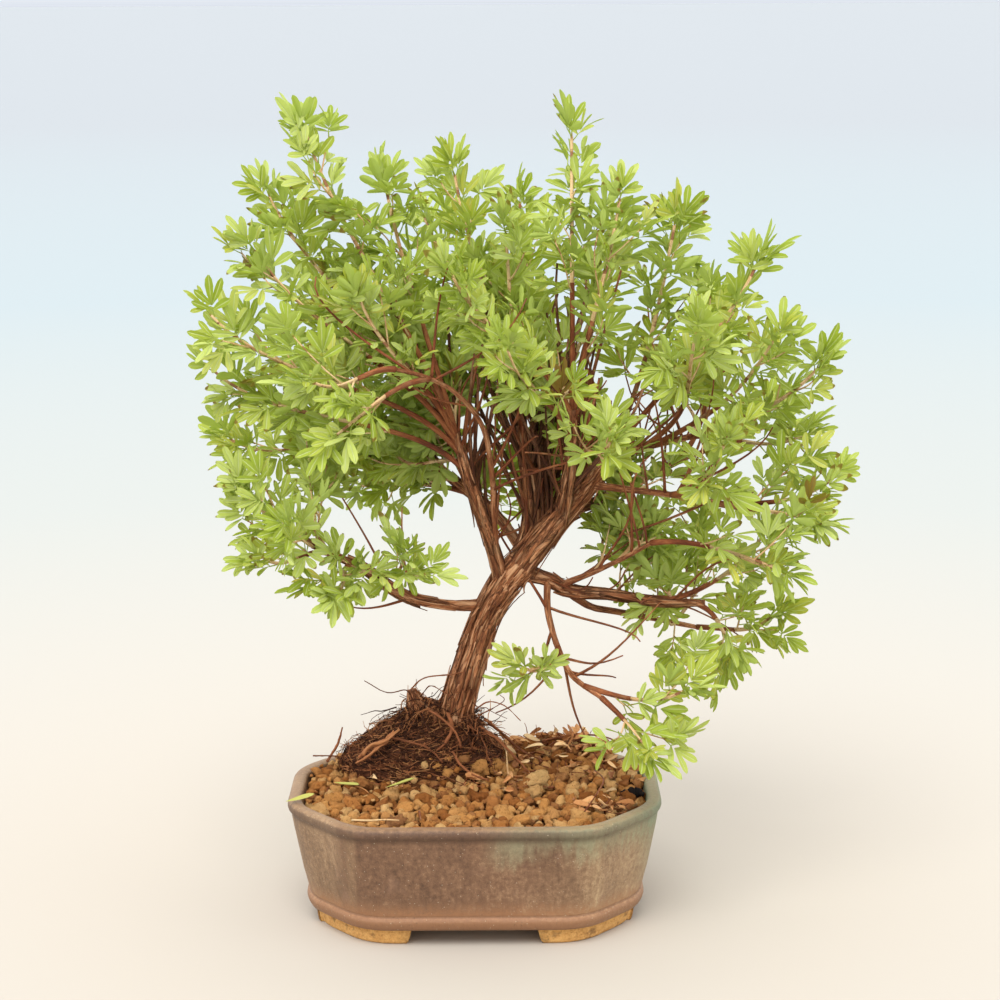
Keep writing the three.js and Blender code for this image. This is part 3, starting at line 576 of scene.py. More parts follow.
# %% Where the limbs run
LIMBS = {
    "trunk": {
        "route": [
            (-16, 25, 50), (-12, 25, 66), (-8, 24, 83), (-1, 22, 106),
            (6, 20, 126), (14, 17, 140), (21, 15, 149),
        ],
        "radii": [9.5, 8.4, 7.4, 6.9, 6.7, 7.2, 7.2],
    },
    "root_crown": {
        "route": [(-12, 25, 68), (-20, 25, 78), (-26, 24, 84), (-28, 24, 90)],
        "radii": [8, 7.6, 4.6, 2.2],
    },
    "right_leader": {
        "route": [(18, 16, 145), (31, 14, 162), (41, 13, 174), (50, 12, 185), (59, 12, 197)],
        "radii": [6.8, 6, 5.4, 4.6, 3.4],
    },
    "centre_leader": {
        "route": [(17, 16, 143), (24, 19, 161), (25, 24, 175), (23, 28, 191), (21, 30, 207)],
        "radii": [5, 4.2, 3.6, 3, 2.2],
    },
    "front_leader": {
        "route": [(37, 13, 169), (40, 5, 183), (42, -3, 200), (42, -9, 220)],
        "radii": [3.6, 3, 2.5, 1.8],
    },
    "back_leader": {
        "route": [(31, 14, 160), (33, 32, 171), (35, 46, 187), (33, 56, 203)],
        "radii": [3.8, 3.2, 2.6, 1.9],
    },
    "left_leader": {
        "route": [(12, 16, 141), (7, 8, 161), (2, 2, 177), (-3, -4, 194), (-7, -8, 210)],
        "radii": [3.8, 3, 2.7, 2.3, 1.8],
    },
    "arching_stem": {
        "route": [
            (10, 14, 147), (9, 2, 171), (8, -10, 194), (4, -24, 216),
            (-7, -38, 232), (-19, -50, 240), (-30, -58, 244),
        ],
        "radii": [1.8, 1.4, 1.3, 1.2, 1.1, 1, 0.9],
    },
    "low_left": {
        "route": [
            (3, 21, 129), (-10, 12, 131), (-25, 2, 136),
            (-36, -8, 144), (-47, -15, 154), (-60, -20, 161),
        ],
        "radii": [3, 2.3, 2.2, 2, 1.8, 1.4],
    },
    "low_right": {
        "route": [(18, 16, 145), (33, 20, 140), (42, 18, 136), (57, 12, 136), (76, 6, 134), (99, 0, 134)],
        "radii": [3.6, 3, 2.6, 2.3, 2.1, 1.8],
    },
    "low_right_back": {
        "route": [(40, 18, 136), (51, 26, 127), (69, 36, 121), (99, 44, 113)],
        "radii": [2, 1.7, 1.5, 1.1],
    },
    "cascade": {
        "route": [(32, 20, 141), (32, 8, 129), (36, -4, 116), (42, -14, 106), (54, -24, 99)],
        "radii": [1.9, 1.5, 1.4, 1.3, 1.1],
    },
    "back_left": {
        "route": [(22, 17, 153), (9, 36, 167), (-9, 52, 179), (-24, 62, 191)],
        "radii": [3, 2.4, 2, 1.5],
    },
    "middle_right": {
        "route": [(49, 12, 184), (67, 4, 183), (88, -6, 182), (104, -14, 180)],
        "radii": [2.2, 1.6, 1.4, 1.1],
    },
    "upper_right": {
        "route": [(57, 12, 194), (74, 18, 199), (94, 22, 203)],
        "radii": [2.6, 1.9, 1.4],
    },
    "back_right": {
        "route": [(41, 13, 173), (56, 40, 172), (74, 60, 177), (93, 72, 184)],
        "radii": [3, 2.3, 1.9, 1.4],
    },
    "riser": {
        "route": [(38, 19, 138), (50, 6, 146), (63, -6, 155), (75, -16, 164)],
        "radii": [1.8, 1.4, 1.2, 1],
    },
}
print("limbs:", len(LIMBS))

# %% [markdown]
# A shoot leaves its limb at a station, from 0 at the limb's start to 1 at its end, and its leaf tips reach a
# given place. The places on the outline of the crown come from the photo. The rest spread the crown to the
# front and the back.

# %% Where the shoots go
SHOOTS = [
    ("left_leader", 1, (-71, -10, 347)),
    ("left_leader", 0.9, (-95, -20, 299)),
    ("left_leader", 0.98, (-38, -2, 328)),
    ("centre_leader", 1, (-9, 14, 329)),
    ("front_leader", 1, (42, 0, 346)),
    ("front_leader", 0.88, (63, -15, 321)),
    ("right_leader", 0.94, (87, -5, 309)),
    ("right_leader", 1, (123, -16, 292)),
    ("upper_right", 1, (152, -10, 246)),
    ("upper_right", 0.6, (129, -38, 263)),
    ("middle_right", 1, (161, -16, 199)),
    ("upper_right", 0.96, (153, 24, 209)),
    ("middle_right", 0.97, (150, -38, 174)),
    ("riser", 1, (138, -46, 155)),
    ("low_right", 0.85, (130, -16, 178)),
    ("low_right_back", 1, (137, 14, 131)),
    ("low_right", 0.97, (117, -12, 108)),
    ("cascade", 1, (78, -58, 77)),
    ("cascade", 0.86, (97, -42, 112)),
    ("cascade", 0.5, (16, -38, 119)),
    ("left_leader", 0.84, (-115, -26, 272)),
    ("left_leader", 0.94, (-90, 8, 320)),
    ("left_leader", 0.72, (-117, -10, 246)),
    ("low_left", 1, (-96, -36, 168)),
    ("low_left", 0.9, (-104, -8, 196)),
    ("low_left", 0.82, (-56, -60, 149)),
    ("arching_stem", 1, (-72, -74, 246)),
    ("arching_stem", 0.8, (-62, -80, 214)),
    ("low_left", 0.93, (-76, -62, 190)),
    ("low_left", 0.6, (-26, -64, 176)),
    ("back_left", 1, (-117, 34, 207)),
    ("centre_leader", 0.9, (14, 4, 305)),
    ("front_leader", 0.7, (12, -82, 264)),
    ("front_leader", 0.55, (58, -78, 226)),
    ("front_leader", 0.92, (-12, -56, 292)),
    ("upper_right", 0.45, (92, -62, 268)),
    ("middle_right", 0.6, (104, -66, 222)),
    ("left_leader", 0.95, (-48, -54, 282)),
    ("back_leader", 1, (-26, 74, 306)),
    ("back_leader", 0.95, (20, 82, 312)),
    ("back_leader", 0.85, (66, 76, 291)),
    ("back_right", 1, (112, 74, 266)),
    ("back_right", 0.9, (142, 68, 214)),
    ("back_right", 0.75, (126, 84, 164)),
    ("back_left", 0.85, (-78, 76, 276)),
    ("back_left", 0.65, (-96, 86, 206)),
    ("back_left", 0.5, (-62, 84, 170)),
    ("back_leader", 0.7, (4, 108, 240)),
]
print("shoots:", len(SHOOTS))

# %% [markdown]
# The curve through a limb's points is a Catmull-Rom spline with its knots spaced by the square root of the
# distance, so that it never loops between points that lie close together. A shoot is a single Bézier curve
# that swings out from its limb and turns up to the light at its end, or down where it hangs. Both match the
# solid model's.

# %% The curves
SHOOT_TURN_UP, SHOOT_TURN_DOWN = 0.45, -0.1
SHOOT_SWING, SHOOT_HANDLE = 0.45, 0.3
TIP_LEAF_REACH = 13
LEAFY_FROM = 0.47


def spline_point(points, station):
    """A point on the smooth curve through a row of points, at a station from 0 to 1."""
    place = (len(points) - 1) * station
    first = min(int(place), len(points) - 2)
    share = place - first
    start, end = points[first], points[first + 1]
    before = points[first - 1] if first else start * 2 - end
    after = points[first + 2] if first + 2 < len(points) else end * 2 - start
    gaps = [(b - a).length ** 0.5 for a, b in ((before, start), (start, end), (end, after))]
    leave = (start - before) / gaps[0] - (end - before) / (gaps[0] + gaps[1]) + (end - start) / gaps[1]
    arrive = (end - start) / gaps[1] - (after - start) / (gaps[1] + gaps[2]) + (after - end) / gaps[2]
    leave, arrive = leave * gaps[1], arrive * gaps[1]
    square = (end - start) * 3 - leave * 2 - arrive
    cube = (start - end) * 2 + leave + arrive
    return start + (leave + (square + cube * share) * share) * share


def curve_through(places):
    """The smooth curve through a row of places, as a function of the station."""
    points = [Vector(place) for place in places]
    return lambda station: spline_point(points, station)


def direction(curve, station):
    return (curve(min(1, station + 1e-4)) - curve(max(0, station - 1e-4))).normalized()


def bezier(start, leave, arrive, end):
    def point(station):
        rest = 1 - station
        near = start * rest**3 + leave * (3 * rest * rest * station)
        return near + arrive * (3 * rest * station * station) + end * station**3

    return point


def shoot_curve(limb, station, reach):
    start, reach = limb_curves[limb](station), Vector(reach)
    straight = (reach - start).normalized()
    length = (reach - start).length
    turn = SHOOT_TURN_UP if reach.z > start.z else SHOOT_TURN_DOWN
    end = (straight + Vector((0, 0, turn))).normalized()
    tip = reach - end * TIP_LEAF_REACH
    out = direction(limb_curves[limb], station).lerp(straight, SHOOT_SWING).normalized()
    handle = SHOOT_HANDLE * length
    return bezier(start, start + out * handle, tip - end * handle, tip)


def limb_radius(name, station):
    radii = LIMBS[name]["radii"]
    first = min(int(station * (len(radii) - 1)), len(radii) - 2)
    share = station * (len(radii) - 1) - first
    return radii[first] * (1 - share) + radii[first + 1] * share


def length_of(curve, start=0.0, end=1.0, pieces=24):
    points = [curve(start + (end - start) * i / pieces) for i in range(pieces + 1)]
    return sum((b - a).length for a, b in zip(points, points[1:]))


limb_curves = {name: curve_through(limb["route"]) for name, limb in LIMBS.items()}
shoot_curves = [shoot_curve(*shoot) for shoot in SHOOTS]
print("longest shoot:", round(max(map(length_of, shoot_curves))), "mm")

# %% [markdown]
# A stem is a tube along a curve. Its rings are worked out first, each with a centre, two directions across
# and a radius, turned as little as possible from one ring to the next. Each corner also keeps its place in
# the straightened stem, so that bark fibres can run along every bend, and an age from 0 for a green shoot
# to 1 for old wood.

# %% Stems
def stem_rings(curve, radius, steps, start=0.0, end=1.0):
    rings, across, travelled = [], None, 0.0
    for step in range(steps + 1):
        station = start + (end - start) * step / steps
        centre, along = curve(station), direction(curve, station)
        across = along.orthogonal() if across is None else across
        across = (across - along * across.dot(along)).normalized()
        travelled += (centre - rings[-1]["centre"]).length if rings else 0
        rings.append({
            "centre": centre,
            "along": along,
            "across": across,
            "over": along.cross(across),
            "radius": radius(station),
            "travelled": travelled,
        })
    return rings


def outward(ring, angle):
    return ring["across"] * math.cos(angle) + ring["over"] * math.sin(angle)


def wood_layers(bm):
    return bm.verts.layers.float_vector.new("straight"), bm.verts.layers.float.new("age")


def add_stem(bm, rings, sides, age, rise=None):
    """Adds a stem to a bmesh that has the wood layers. rise(angle, ring) lifts or lowers its skin."""
    straight, ages = bm.verts.layers.float_vector["straight"], bm.verts.layers.float["age"]

    def corner(turn, number):
        ring, angle = rings[number], math.tau * turn / sides
        lift = rise(angle, ring) if rise else 0
        return ring["centre"] + outward(ring, angle) * (ring["radius"] + lift)

    for vert, (turn, number) in add_tube(bm, sides, len(rings) - 1, corner):
        ring, angle = rings[number], math.tau * turn / sides
        radius = ring["radius"]
        vert[straight] = (radius * math.cos(angle), radius * math.sin(angle), ring["travelled"])
        vert[ages] = age


print("stem helpers ready")

# %% [markdown]
# Old bark on this shrub splits lengthwise and shreds. So the skin of each limb is cut into long ridges,
# deepest on the thick wood, and loose strips are laid over it further below. The cuts mostly go inwards, so
# that the limb stays about as thick as the solid one. Limbs in the shade of the crown get an age above 1,
# which the bark's colours turn into painted shade: a dark brown.

# %% The limbs
THICK_LIMB, THICK_SIDES, THICK_RING_SPACING, THIN_RING_SPACING = 5, 56, 1.6, 2.4
# Painted shade: limbs in the shade of the crown get an age above 1, which darkens their bark.
SHADED_LIMBS, PAINTED_SHADE_AGE = ("centre_leader", "back_leader", "left_leader", "front_leader"), 1.28


def bark_rise(seed):
    def rise(angle, ring):
        share = min(1, ring["radius"] / 7)
        turn = angle + ring["travelled"] * 0.005
        place = Vector((math.cos(turn), math.sin(turn), 0)) * 1.5
        place.z = ring["travelled"] * 0.022 + seed
        flutes = noise.noise(place * 1.1)
        ridges = 0.5 - abs(noise.noise(place * 3.1) * 1.6)
        shreds = 0.5 - abs(noise.noise(Vector((place.x, place.y, place.z * 0.6)) * 8) * 1.6)
        knots = noise.noise(Vector((place.x, place.y, place.z * 4)) * 0.8)
        return share * (1.1 * flutes + 0.75 * ridges + 0.5 * shreds + 0.5 * knots - 0.9)

    return rise


bm = bmesh.new()
wood_layers(bm)
limb_rings = {}
for seed, name in enumerate(LIMBS):
    curve, thickest = limb_curves[name], max(LIMBS[name]["radii"])
    is_thick = thickest > THICK_LIMB
    steps = round(length_of(curve) / (THICK_RING_SPACING if is_thick else THIN_RING_SPACING))
    limb_rings[name] = stem_rings(curve, lambda station: limb_radius(name, station), steps)
    sides = THICK_SIDES if is_thick else 8 + 4 * round(thickest)
    age = PAINTED_SHADE_AGE if name in SHADED_LIMBS else min(1, 0.45 + thickest / 12)
    add_stem(bm, limb_rings[name], sides, age, bark_rise(seed * 7.3))
print("limbs:", len(bm.faces), "faces")

# %% [markdown]
# The bare lower ends of the shoots come next, and then thin dry twigs that fill the middle of the crown.
# Each dry twig starts from a limb, wanders, and ends in the open.

# %% Bare twigs
def scattered(rng):
    return Vector((rng.gauss(0, 1), rng.gauss(0, 1), rng.gauss(0, 1)))


def twig_curve(rng, start, heading, length, bend=0.5):
    """A twig that leaves start along heading and wanders off it."""
    def stray():
        return scattered(rng) * bend * length / 4

    up = Vector((0, 0, length * rng.uniform(0, 0.2)))
    leave = start + heading * length * 0.33
    arrive = start + heading * length * 0.66 + stray()
    return bezier(start, leave, arrive, start + heading * length + stray() + up)


def tapered(thick, thin):
    return lambda station: thick + (thin - thick) * station


def some_direction(rng, lift=0.0):
    """A random direction, leaning upwards by the lift."""
    return (scattered(rng).normalized() + Vector((0, 0, lift))).normalized()


SHOOT_RADIUS, SHOOT_TIP_RADIUS = 1.35, 0.62
for number, curve in enumerate(shoot_curves):
    rings = stem_rings(curve, tapered(SHOOT_RADIUS, SHOOT_TIP_RADIUS), 12, 0, LEAFY_FROM)
    add_stem(bm, rings, 7, 0.24 + 0.24 * (number % 3) / 2)
rng = random.Random(41)
DRY_TWIGS = 96
twig_limbs = [name for name in LIMBS if name not in ("trunk", "root_crown", "low_right_back")]
for _ in range(DRY_TWIGS):
    name = rng.choice(twig_limbs)
    station = rng.uniform(0.12, 1)
    start, along = limb_curves[name](station), direction(limb_curves[name], station)
    heading = (along * rng.uniform(0.2, 1) + some_direction(rng, 0.5)).normalized()
    curve = twig_curve(rng, start, heading, rng.uniform(22, 62))
    radius = rng.uniform(0.5, 0.85)
    add_stem(bm, stem_rings(curve, tapered(radius, 0.3), 9), 5, rng.uniform(0.26, 0.6))
print("with twigs:", len(bm.faces), "faces")

# %% [markdown]
# The heart of the crown is a dense bunch of upright dry stems that rise from the fork into the leaves. Most
# have an age above 1, which the bark's colours below turn into painted shade: a darker brown.

# %% Upright stems in the heart
# Painted shade: most upright stems get an age above 1, which darkens their bark.
UPRIGHT_STEMS, HEART_SHADE_AGE = 72, 1.4
HEART_LIMBS = (
    "centre_leader", "centre_leader", "back_leader",
    "right_leader", "left_leader", "front_leader",
)
rng = random.Random(77)
for _ in range(UPRIGHT_STEMS):
    name, station = rng.choice(HEART_LIMBS), rng.uniform(0.05, 0.75)
    start = limb_curves[name](station)
    length = rng.uniform(40, 92)
    end = start + Vector((rng.gauss(0, 0.2), rng.gauss(0.05, 0.22), 1)).normalized() * length
    leave = start + direction(limb_curves[name], station) * length * 0.25
    arrive = end - Vector((rng.gauss(0, 0.1), rng.gauss(0, 0.1), 0.35)) * length
    rings = stem_rings(bezier(start, leave, arrive, end), tapered(rng.uniform(0.7, 1.5), 0.45), 12)
    add_stem(bm, rings, 6, HEART_SHADE_AGE if rng.random() < 0.7 else 0.5)
print("with upright stems:", len(bm.faces), "faces")

# %% [markdown]
# Shreds of bark are thin lens-shaped strips. Each follows its limb along a line of the skin, and its ends
# lift off and curl away, some more than others.

# %% Shreds of bark
STRIP_STEPS, STRIP_THICKNESS = 7, 0.22
STRIP_WIDTHS, STRIP_LIFTS = (0.4, 0.7, 1.1, 1.8), (0.3, 0.6, 1.2, 2.6)
STRIP_COUNTS = {
    "trunk": 150, "right_leader": 60, "centre_leader": 40, "low_right": 36,
    "front_leader": 20, "back_leader": 20, "left_leader": 34, "low_left": 30,
    "root_crown": 22, "back_right": 18, "back_left": 18,
}


def add_strip(bm, rng, name):
    straight, ages = bm.verts.layers.float_vector["straight"], bm.verts.layers.float["age"]
    rings, stride = limb_rings[name], rng.choice((1, 2, 3))
    first = rng.randrange(max(1, len(rings) - STRIP_STEPS * stride))
    angle, drift = rng.uniform(0, math.tau), rng.gauss(0, 0.02)
    width, lift = rng.choice(STRIP_WIDTHS), rng.choice(STRIP_LIFTS) * rng.uniform(0.5, 1)
    lift_low, lift_high = rng.choice(((1, 0.2), (0.2, 1), (0.6, 0.6)))

    def corner(turn, step):
        ring = rings[min(len(rings) - 1, first + step * stride)]
        share = step / STRIP_STEPS
        off = lift * (lift_low * (1 - share) ** 3 + lift_high * share**3)
        here = angle + drift * step
        out, aside = outward(ring, here), outward(ring, here + math.pi / 2)
        half = width * (0.25 + 0.75 * math.sin(math.pi * (0.08 + 0.84 * share)))
        spread, thick = ((1, 0), (0, STRIP_THICKNESS), (-1, 0), (0, -STRIP_THICKNESS))[turn]
        return ring["centre"] + out * (ring["radius"] - 0.2 + off + thick) + aside * half * spread

    for vert, (turn, step) in add_tube(bm, 4, STRIP_STEPS, corner):
        vert[straight] = (width * turn + 13 * angle, width, 2.4 * step * stride + first)
        vert[ages] = rng.uniform(0.75, 1.1)


rng = random.Random(7)
for name, count in STRIP_COUNTS.items():
    for _ in range(count):
        add_strip(bm, rng, name)
bmesh.ops.recalc_face_normals(bm, faces=bm.faces)
smooth(bm)

# %% [markdown]
# Old bark is reddish brown with dark cracks and pale torn flakes, and fine fibres run along it. Young wood
# is smoother and a little glossy, and the youngest is tan, with brown sheaths left by old leaves. The age
# that the stems keep mixes one into the other, and an age above 1 paints shade in the heart of the crown.

# %% The bark
def bark_finish():
    bark = Finish("shredding_bark", Specular_IOR_Level=0.3)
    along = bark.attribute("straight", "Vector")
    age_and_painted_shade = bark.attribute("age")
    age = age_and_painted_shade.clamped()
    here = bark.places()
    long_way = bark.stretched(along, (1, 1, 0.09))
    fibres = bark.cloud(long_way, 1.6, detail=6, roughness=0.7)
    plates = bark.cloud(bark.stretched(along, (1, 1, 0.16)), 0.32, detail=4)
    flakes = bark.cloud(bark.stretched(along, (1, 1, 0.17)), 0.3, detail=4, distortion=0.6)
    cracks = bark.ramp((flakes - 0.5).abs(), 0.022, 0.003)
    patches = bark.cloud(here, 0.07, detail=3)
    fine = bark.cloud(here, 1.5, detail=4, roughness=0.7)
    old = bark.colours(
        fibres * 0.45 + plates * 0.25 + flakes * 0.3,
        (0.36, srgb(66, 33, 20)),
        (0.43, srgb(124, 72, 43)),
        (0.5, srgb(172, 110, 71)),
        (0.57, srgb(208, 151, 108)),
        (0.68, srgb(234, 195, 158)),
    )
    old = bark.mix(bark.ramp(patches, 0.52, 0.7) * 0.3, old, srgb(134, 104, 80))
    old = bark.mix(bark.ramp(flakes, 0.55, 0.6) * 0.45, old, srgb(214, 168, 130))
    old = bark.mix(cracks * 0.6, old, srgb(60, 30, 18))
    young = bark.colours(
        fibres * 0.5 + patches * 0.5,
        (0.36, srgb(84, 40, 22)),
        (0.5, srgb(130, 68, 37)),
        (0.64, srgb(176, 114, 70)),
    )
    green_wood = bark.colours(
        fibres * 0.5 + patches * 0.5,
        (0.4, srgb(192, 144, 98)),
        (0.48, srgb(220, 184, 134)),
        (0.62, srgb(234, 210, 162)),
    )
    sheaths = bark.cloud(bark.stretched(along, (0.03, 0.03, 0.16)), 1.0, detail=2)
    green_wood = bark.mix(bark.ramp(sheaths, 0.53, 0.56) * 0.8, green_wood, srgb(132, 72, 40))
    young = bark.mix(bark.ramp(age + (patches - 0.5) * 0.3, 0.26, 0.1), young, green_wood)
    colour = bark.mix(bark.ramp(age + (fine - 0.5) * 0.3, 0.42, 0.72), young, old)
    # Painted shade: wood with an age above 1 turns dark brown.
    colour = bark.mix(bark.ramp(age_and_painted_shade, 1.2, 1.35) * 0.6, colour, srgb(58, 28, 16))
    height = fibres * 0.45 + plates * 0.2 + flakes * 0.35 + fine * 0.1 - cracks * age * 0.3
    return bark.wear(colour, (0.55 + age * 0.3).clamped(), bark.relief(height, 1.6))


bark = bark_finish()
add_piece("shaggy_trunk", bm, [bark], ["trunk"])

# %% [markdown]
# ## The root mat
# The tree's mass of fine old roots stands out of the soil as a dark dome. Its profile is the solid model's,
# drawn with many more rings and roughened by noise. Each row of it gives a height, half the width there and
# the place of its middle.

# %% The dome of roots
MAT_MIDDLE_X, MAT_MIDDLE_Y, MAT_FLATTENING = -24, 27, 0.64
MAT_PROFILE = [Vector(ring) for ring in (
    (24, 18, -23), (40, 28, -23), (52, 34, MAT_MIDDLE_X), (58, 34, MAT_MIDDLE_X),
    (64, 29.5, -23), (71, 23, -20), (76, 16.5, -17), (79, 9, -14),
)]


def kept_in(value):
    """A value kept between 0 and 1."""
    return min(1, max(0, value))


def mat_point(angle, share, lift=0.0):
    """A point over the dome: share runs from 0 at its foot to 1 at its top."""
    height, half, middle = spline_point(MAT_PROFILE, kept_in(share))
    out = Vector((math.cos(angle), math.sin(angle), 0.5))
    rough = noise.noise(out * 2.4 + Vector((0, 0, height / 9))) * 2.2
    rough += noise.noise(out * 6 + Vector((0, 0, height / 4))) * 1.1
    reach = half + rough + lift
    y = MAT_MIDDLE_Y + reach * MAT_FLATTENING * math.sin(angle)
    return Vector((middle + reach * math.cos(angle), y, height + lift * 0.6 + rough * 0.3))


MAT_SIDES, MAT_STEPS = 96, 52
bm = bmesh.new()
straight, ages = wood_layers(bm)
made = add_tube(bm, MAT_SIDES, MAT_STEPS, lambda turn, ring: mat_point(
    math.tau * turn / MAT_SIDES, ring / MAT_STEPS,
    1.1 * (0.5 - abs(noise.noise(Vector((turn * 0.33, ring * 0.24, 3))) * 2)),
))
for vert, (turn, ring) in made:
    vert[straight] = (turn * 1.6, 0, ring * 1.4)
    vert[ages] = 0.12
print("dome:", len(bm.faces), "faces")

# %% [markdown]
# Hair roots are laid over the dome. Most run down and round it, close to the surface, and a few stand off in
# loops. Short ones point every way and make it bristle. How pale a root is stands in its age, and most stay
# dark.

# %% Hair roots
def root_path(rng, angle, share, length, lift):
    """Points of a root that starts on the dome and creeps down and round it."""
    points, bow = [], rng.uniform(0.2, 1)
    for i in range(6):
        off = lift * math.sin(math.pi * (0.15 + 0.85 * bow * i / 5)) + 0.25
        points.append(mat_point(angle, share, off) + some_direction(rng) * (0.5 + lift * 0.12))
        angle += rng.gauss(0, 0.012) * length
        share -= rng.uniform(0.2, 1) * length / 260
    return points


def add_root(bm, points, thick, thin, tone, sides=3, steps=7, rise=None):
    rings = stem_rings(curve_through(points), tapered(thick, thin), steps)
    add_stem(bm, rings, sides, tone, rise)


rng = random.Random(23)
HAIR_ROOTS, LOOSE_ROOTS = 1300, 150
for number in range(HAIR_ROOTS + LOOSE_ROOTS):
    is_loose = number >= HAIR_ROOTS
    lift = rng.uniform(1.5, 5) if is_loose else rng.uniform(-0.1, 1.5)
    thick = rng.choice((0.18, 0.22, 0.26)) if is_loose else rng.choice((0.2, 0.26, 0.34, 0.46))
    path = root_path(rng, rng.uniform(0, math.tau), rng.uniform(0.36, 1), rng.uniform(5, 20), lift)
    add_root(bm, path, thick, 0.12, min(0.7, rng.random() ** 3.1))
SHORT_HAIRS = 1500
for _ in range(SHORT_HAIRS):
    start = mat_point(rng.uniform(0, math.tau), rng.uniform(0.3, 1), rng.uniform(-0.2, 1))
    curve = twig_curve(rng, start, some_direction(rng, 0.3), rng.uniform(1.6, 5), 0.7)
    tone = rng.random() ** 2 * 0.6 + (0.45 if rng.random() < 0.1 else 0)
    add_stem(bm, stem_rings(curve, tapered(rng.choice((0.14, 0.2, 0.28)), 0.1), 3), 3, tone)
print("with hair roots:", len(bm.faces), "faces")

# %% [markdown]
# The same dark roots fill the notch between the old stump and the trunk, and the foot of the trunk on its
# right. They start anywhere in two small clouds, and wander down and out.

# %% Roots round the trunk's foot
FOOT_ROOT_LOTS = (((-19, 22, 82), (11, 6, 4), 260), ((-1, 18, 75), (6, 6, 5), 130))
for middle, spread, count in FOOT_ROOT_LOTS:
    for _ in range(count):
        place = Vector(rng.gauss(m, s * 0.5) for m, s in zip(middle, spread))
        heading = some_direction(rng, -0.6)
        length = rng.uniform(5, 17)
        points = [place + heading * length * i / 5 + some_direction(rng) * 0.8 for i in range(6)]
        add_root(bm, points, rng.choice((0.2, 0.28, 0.4)), 0.14, min(0.6, rng.random() ** 3))
print("with foot roots:", len(bm.faces), "faces")

# %% [markdown]
# A few thicker roots show among the fine ones: two that grip the soil right of the trunk, pale strands of
# peeling skin on the left, and long whiskers that stand off into the air. Their places come from the photo.
# Each is given as four points, its radius at both ends, and how pale it is. Noise makes them knobbly.

# %% Thick roots and whiskers
THICK_ROOTS = (
    ((2, 14, 76), (10, 10, 71), (17, 9, 64), (23, 9, 57), 0.8, 0.4, 0.28),
    ((4, 19, 78), (12, 20, 71), (20, 22, 63), (30, 25, 57), 0.7, 0.35, 0.22),
    ((-51, 11, 63), (-47, 8, 68), (-41, 7, 71), (-35, 9, 75), 0.6, 0.9, 0.5),
    ((-49, 9, 65), (-45, 6.5, 70), (-39, 5.5, 72), (-33, 10, 76), 0.9, 0.5, 0.62),
    ((-52, 9, 61), (-47, 7, 64.5), (-42, 6, 69), (-38, 7, 71.5), 0.5, 0.7, 0.56),
    ((-20, 12, 84), (-13, 9, 80), (-8, 8, 74), (-6, 8, 68), 0.6, 0.4, 0.32),
    ((-10, 10, 66), (-6, 5, 61), (0, 3, 57), (6, 2, 55), 0.6, 0.4, 0.3),
    ((-38, 12, 72), (-28, 7, 71), (-20, 7, 68), (-14, 6, 62), 0.55, 0.35, 0.24),
    ((-12, 15, 82), (-10, 12, 76), (-13, 9, 70), (-18, 8, 66), 1.0, 0.5, 0.3),
    ((-29, 22, 90), (-22, 18, 97), (-10, 16, 99), (3, 16, 102), 0.35, 0.22, 0.3),
    ((-27, 20, 86), (-30, 16, 92), (-38, 12, 92), (-48, 10, 98), 0.35, 0.18, 0.15),
    ((-24, 20, 88), (-19, 12, 95), (-14, 10, 93), (-9, 10, 90), 0.3, 0.16, 0.2),
    ((0, 20, 82), (6, 18, 86), (13, 15, 85), (20, 12, 79), 0.35, 0.18, 0.3),
    ((2, 22, 79), (8, 22, 82), (13, 22, 86), (11, 22, 88), 0.28, 0.16, 0.2),
    ((-66, 25, 57), (-62, 26, 63), (-60, 27, 68), (-59, 28, 72), 0.6, 0.35, 0.3),
    ((-72, 24, 60), (-64, 24, 60), (-56, 24, 59), (-48, 24, 58), 0.35, 0.25, 0.2),
)


def knobbly(angle, ring):
    place = ring["centre"] * 0.4 + outward(ring, angle) * ring["radius"] * 1.2
    return ring["radius"] * (0.7 * noise.noise(place * 1.4) + 0.6 * noise.noise(place * 3))


for *points, thick, thin, tone in THICK_ROOTS:
    add_root(bm, points, thick, thin, tone, 9, 18, knobbly)
bmesh.ops.recalc_face_normals(bm, faces=bm.faces)
smooth(bm)


def root_finish():
    root = Finish("old_roots", Specular_IOR_Level=0.2)
    here = root.places()
    along = root.attribute("straight", "Vector")
    tone = root.attribute("age")
    fibres = root.cloud(root.stretched(along, (1, 1, 0.2)), 1.2, detail=5, roughness=0.7)
    patches = root.cloud(here, 0.11, detail=4)
    colour = root.colours(
        tone * 0.8 + fibres * 0.3 + patches * 0.22 - 0.16,
        (0.05, srgb(40, 22, 15)),
        (0.22, srgb(98, 58, 37)),
        (0.42, srgb(158, 98, 63)),
        (0.75, srgb(184, 132, 86)),
        (0.98, srgb(208, 164, 112)),
    )
    return root.wear(colour, 0.8, root.relief(fibres * 0.7 + patches * 0.3, 0.8))


add_piece("fibrous_roots", bm, [root_finish()], ["root_mat"])

# %% [markdown]
# ## The soil
# The soil is fired clay in crumbs of 2 to 8 millimetres. Under them lies a plain dark bed. The crumbs are
# thrown on it one by one, the largest first, and one that lands too near another is left out. Its height
# follows the solid model: up towards the back, down to the sides, and a heap of litter at the back right.

# %% The bed under the crumbs
SOIL_FRONT, SOIL_RISE, SOIL_SIDE_FALL, SOIL_BACK_FROM = 49, 6.5, 2.5, 2.6
HEAP_X, HEAP_Y, HEAP_RISE, HEAP_ACROSS, HEAP_DEEP = 42, 44, 5, 24, 12
BANK_FROM, BANK_TO, BANK_RISE, BANK_LEFT, BANK_EASE = 41, 30, 10.5, -34, 12
BED_DROP, BED_GAP, BED_RINGS = 2.4, 0.4, 12


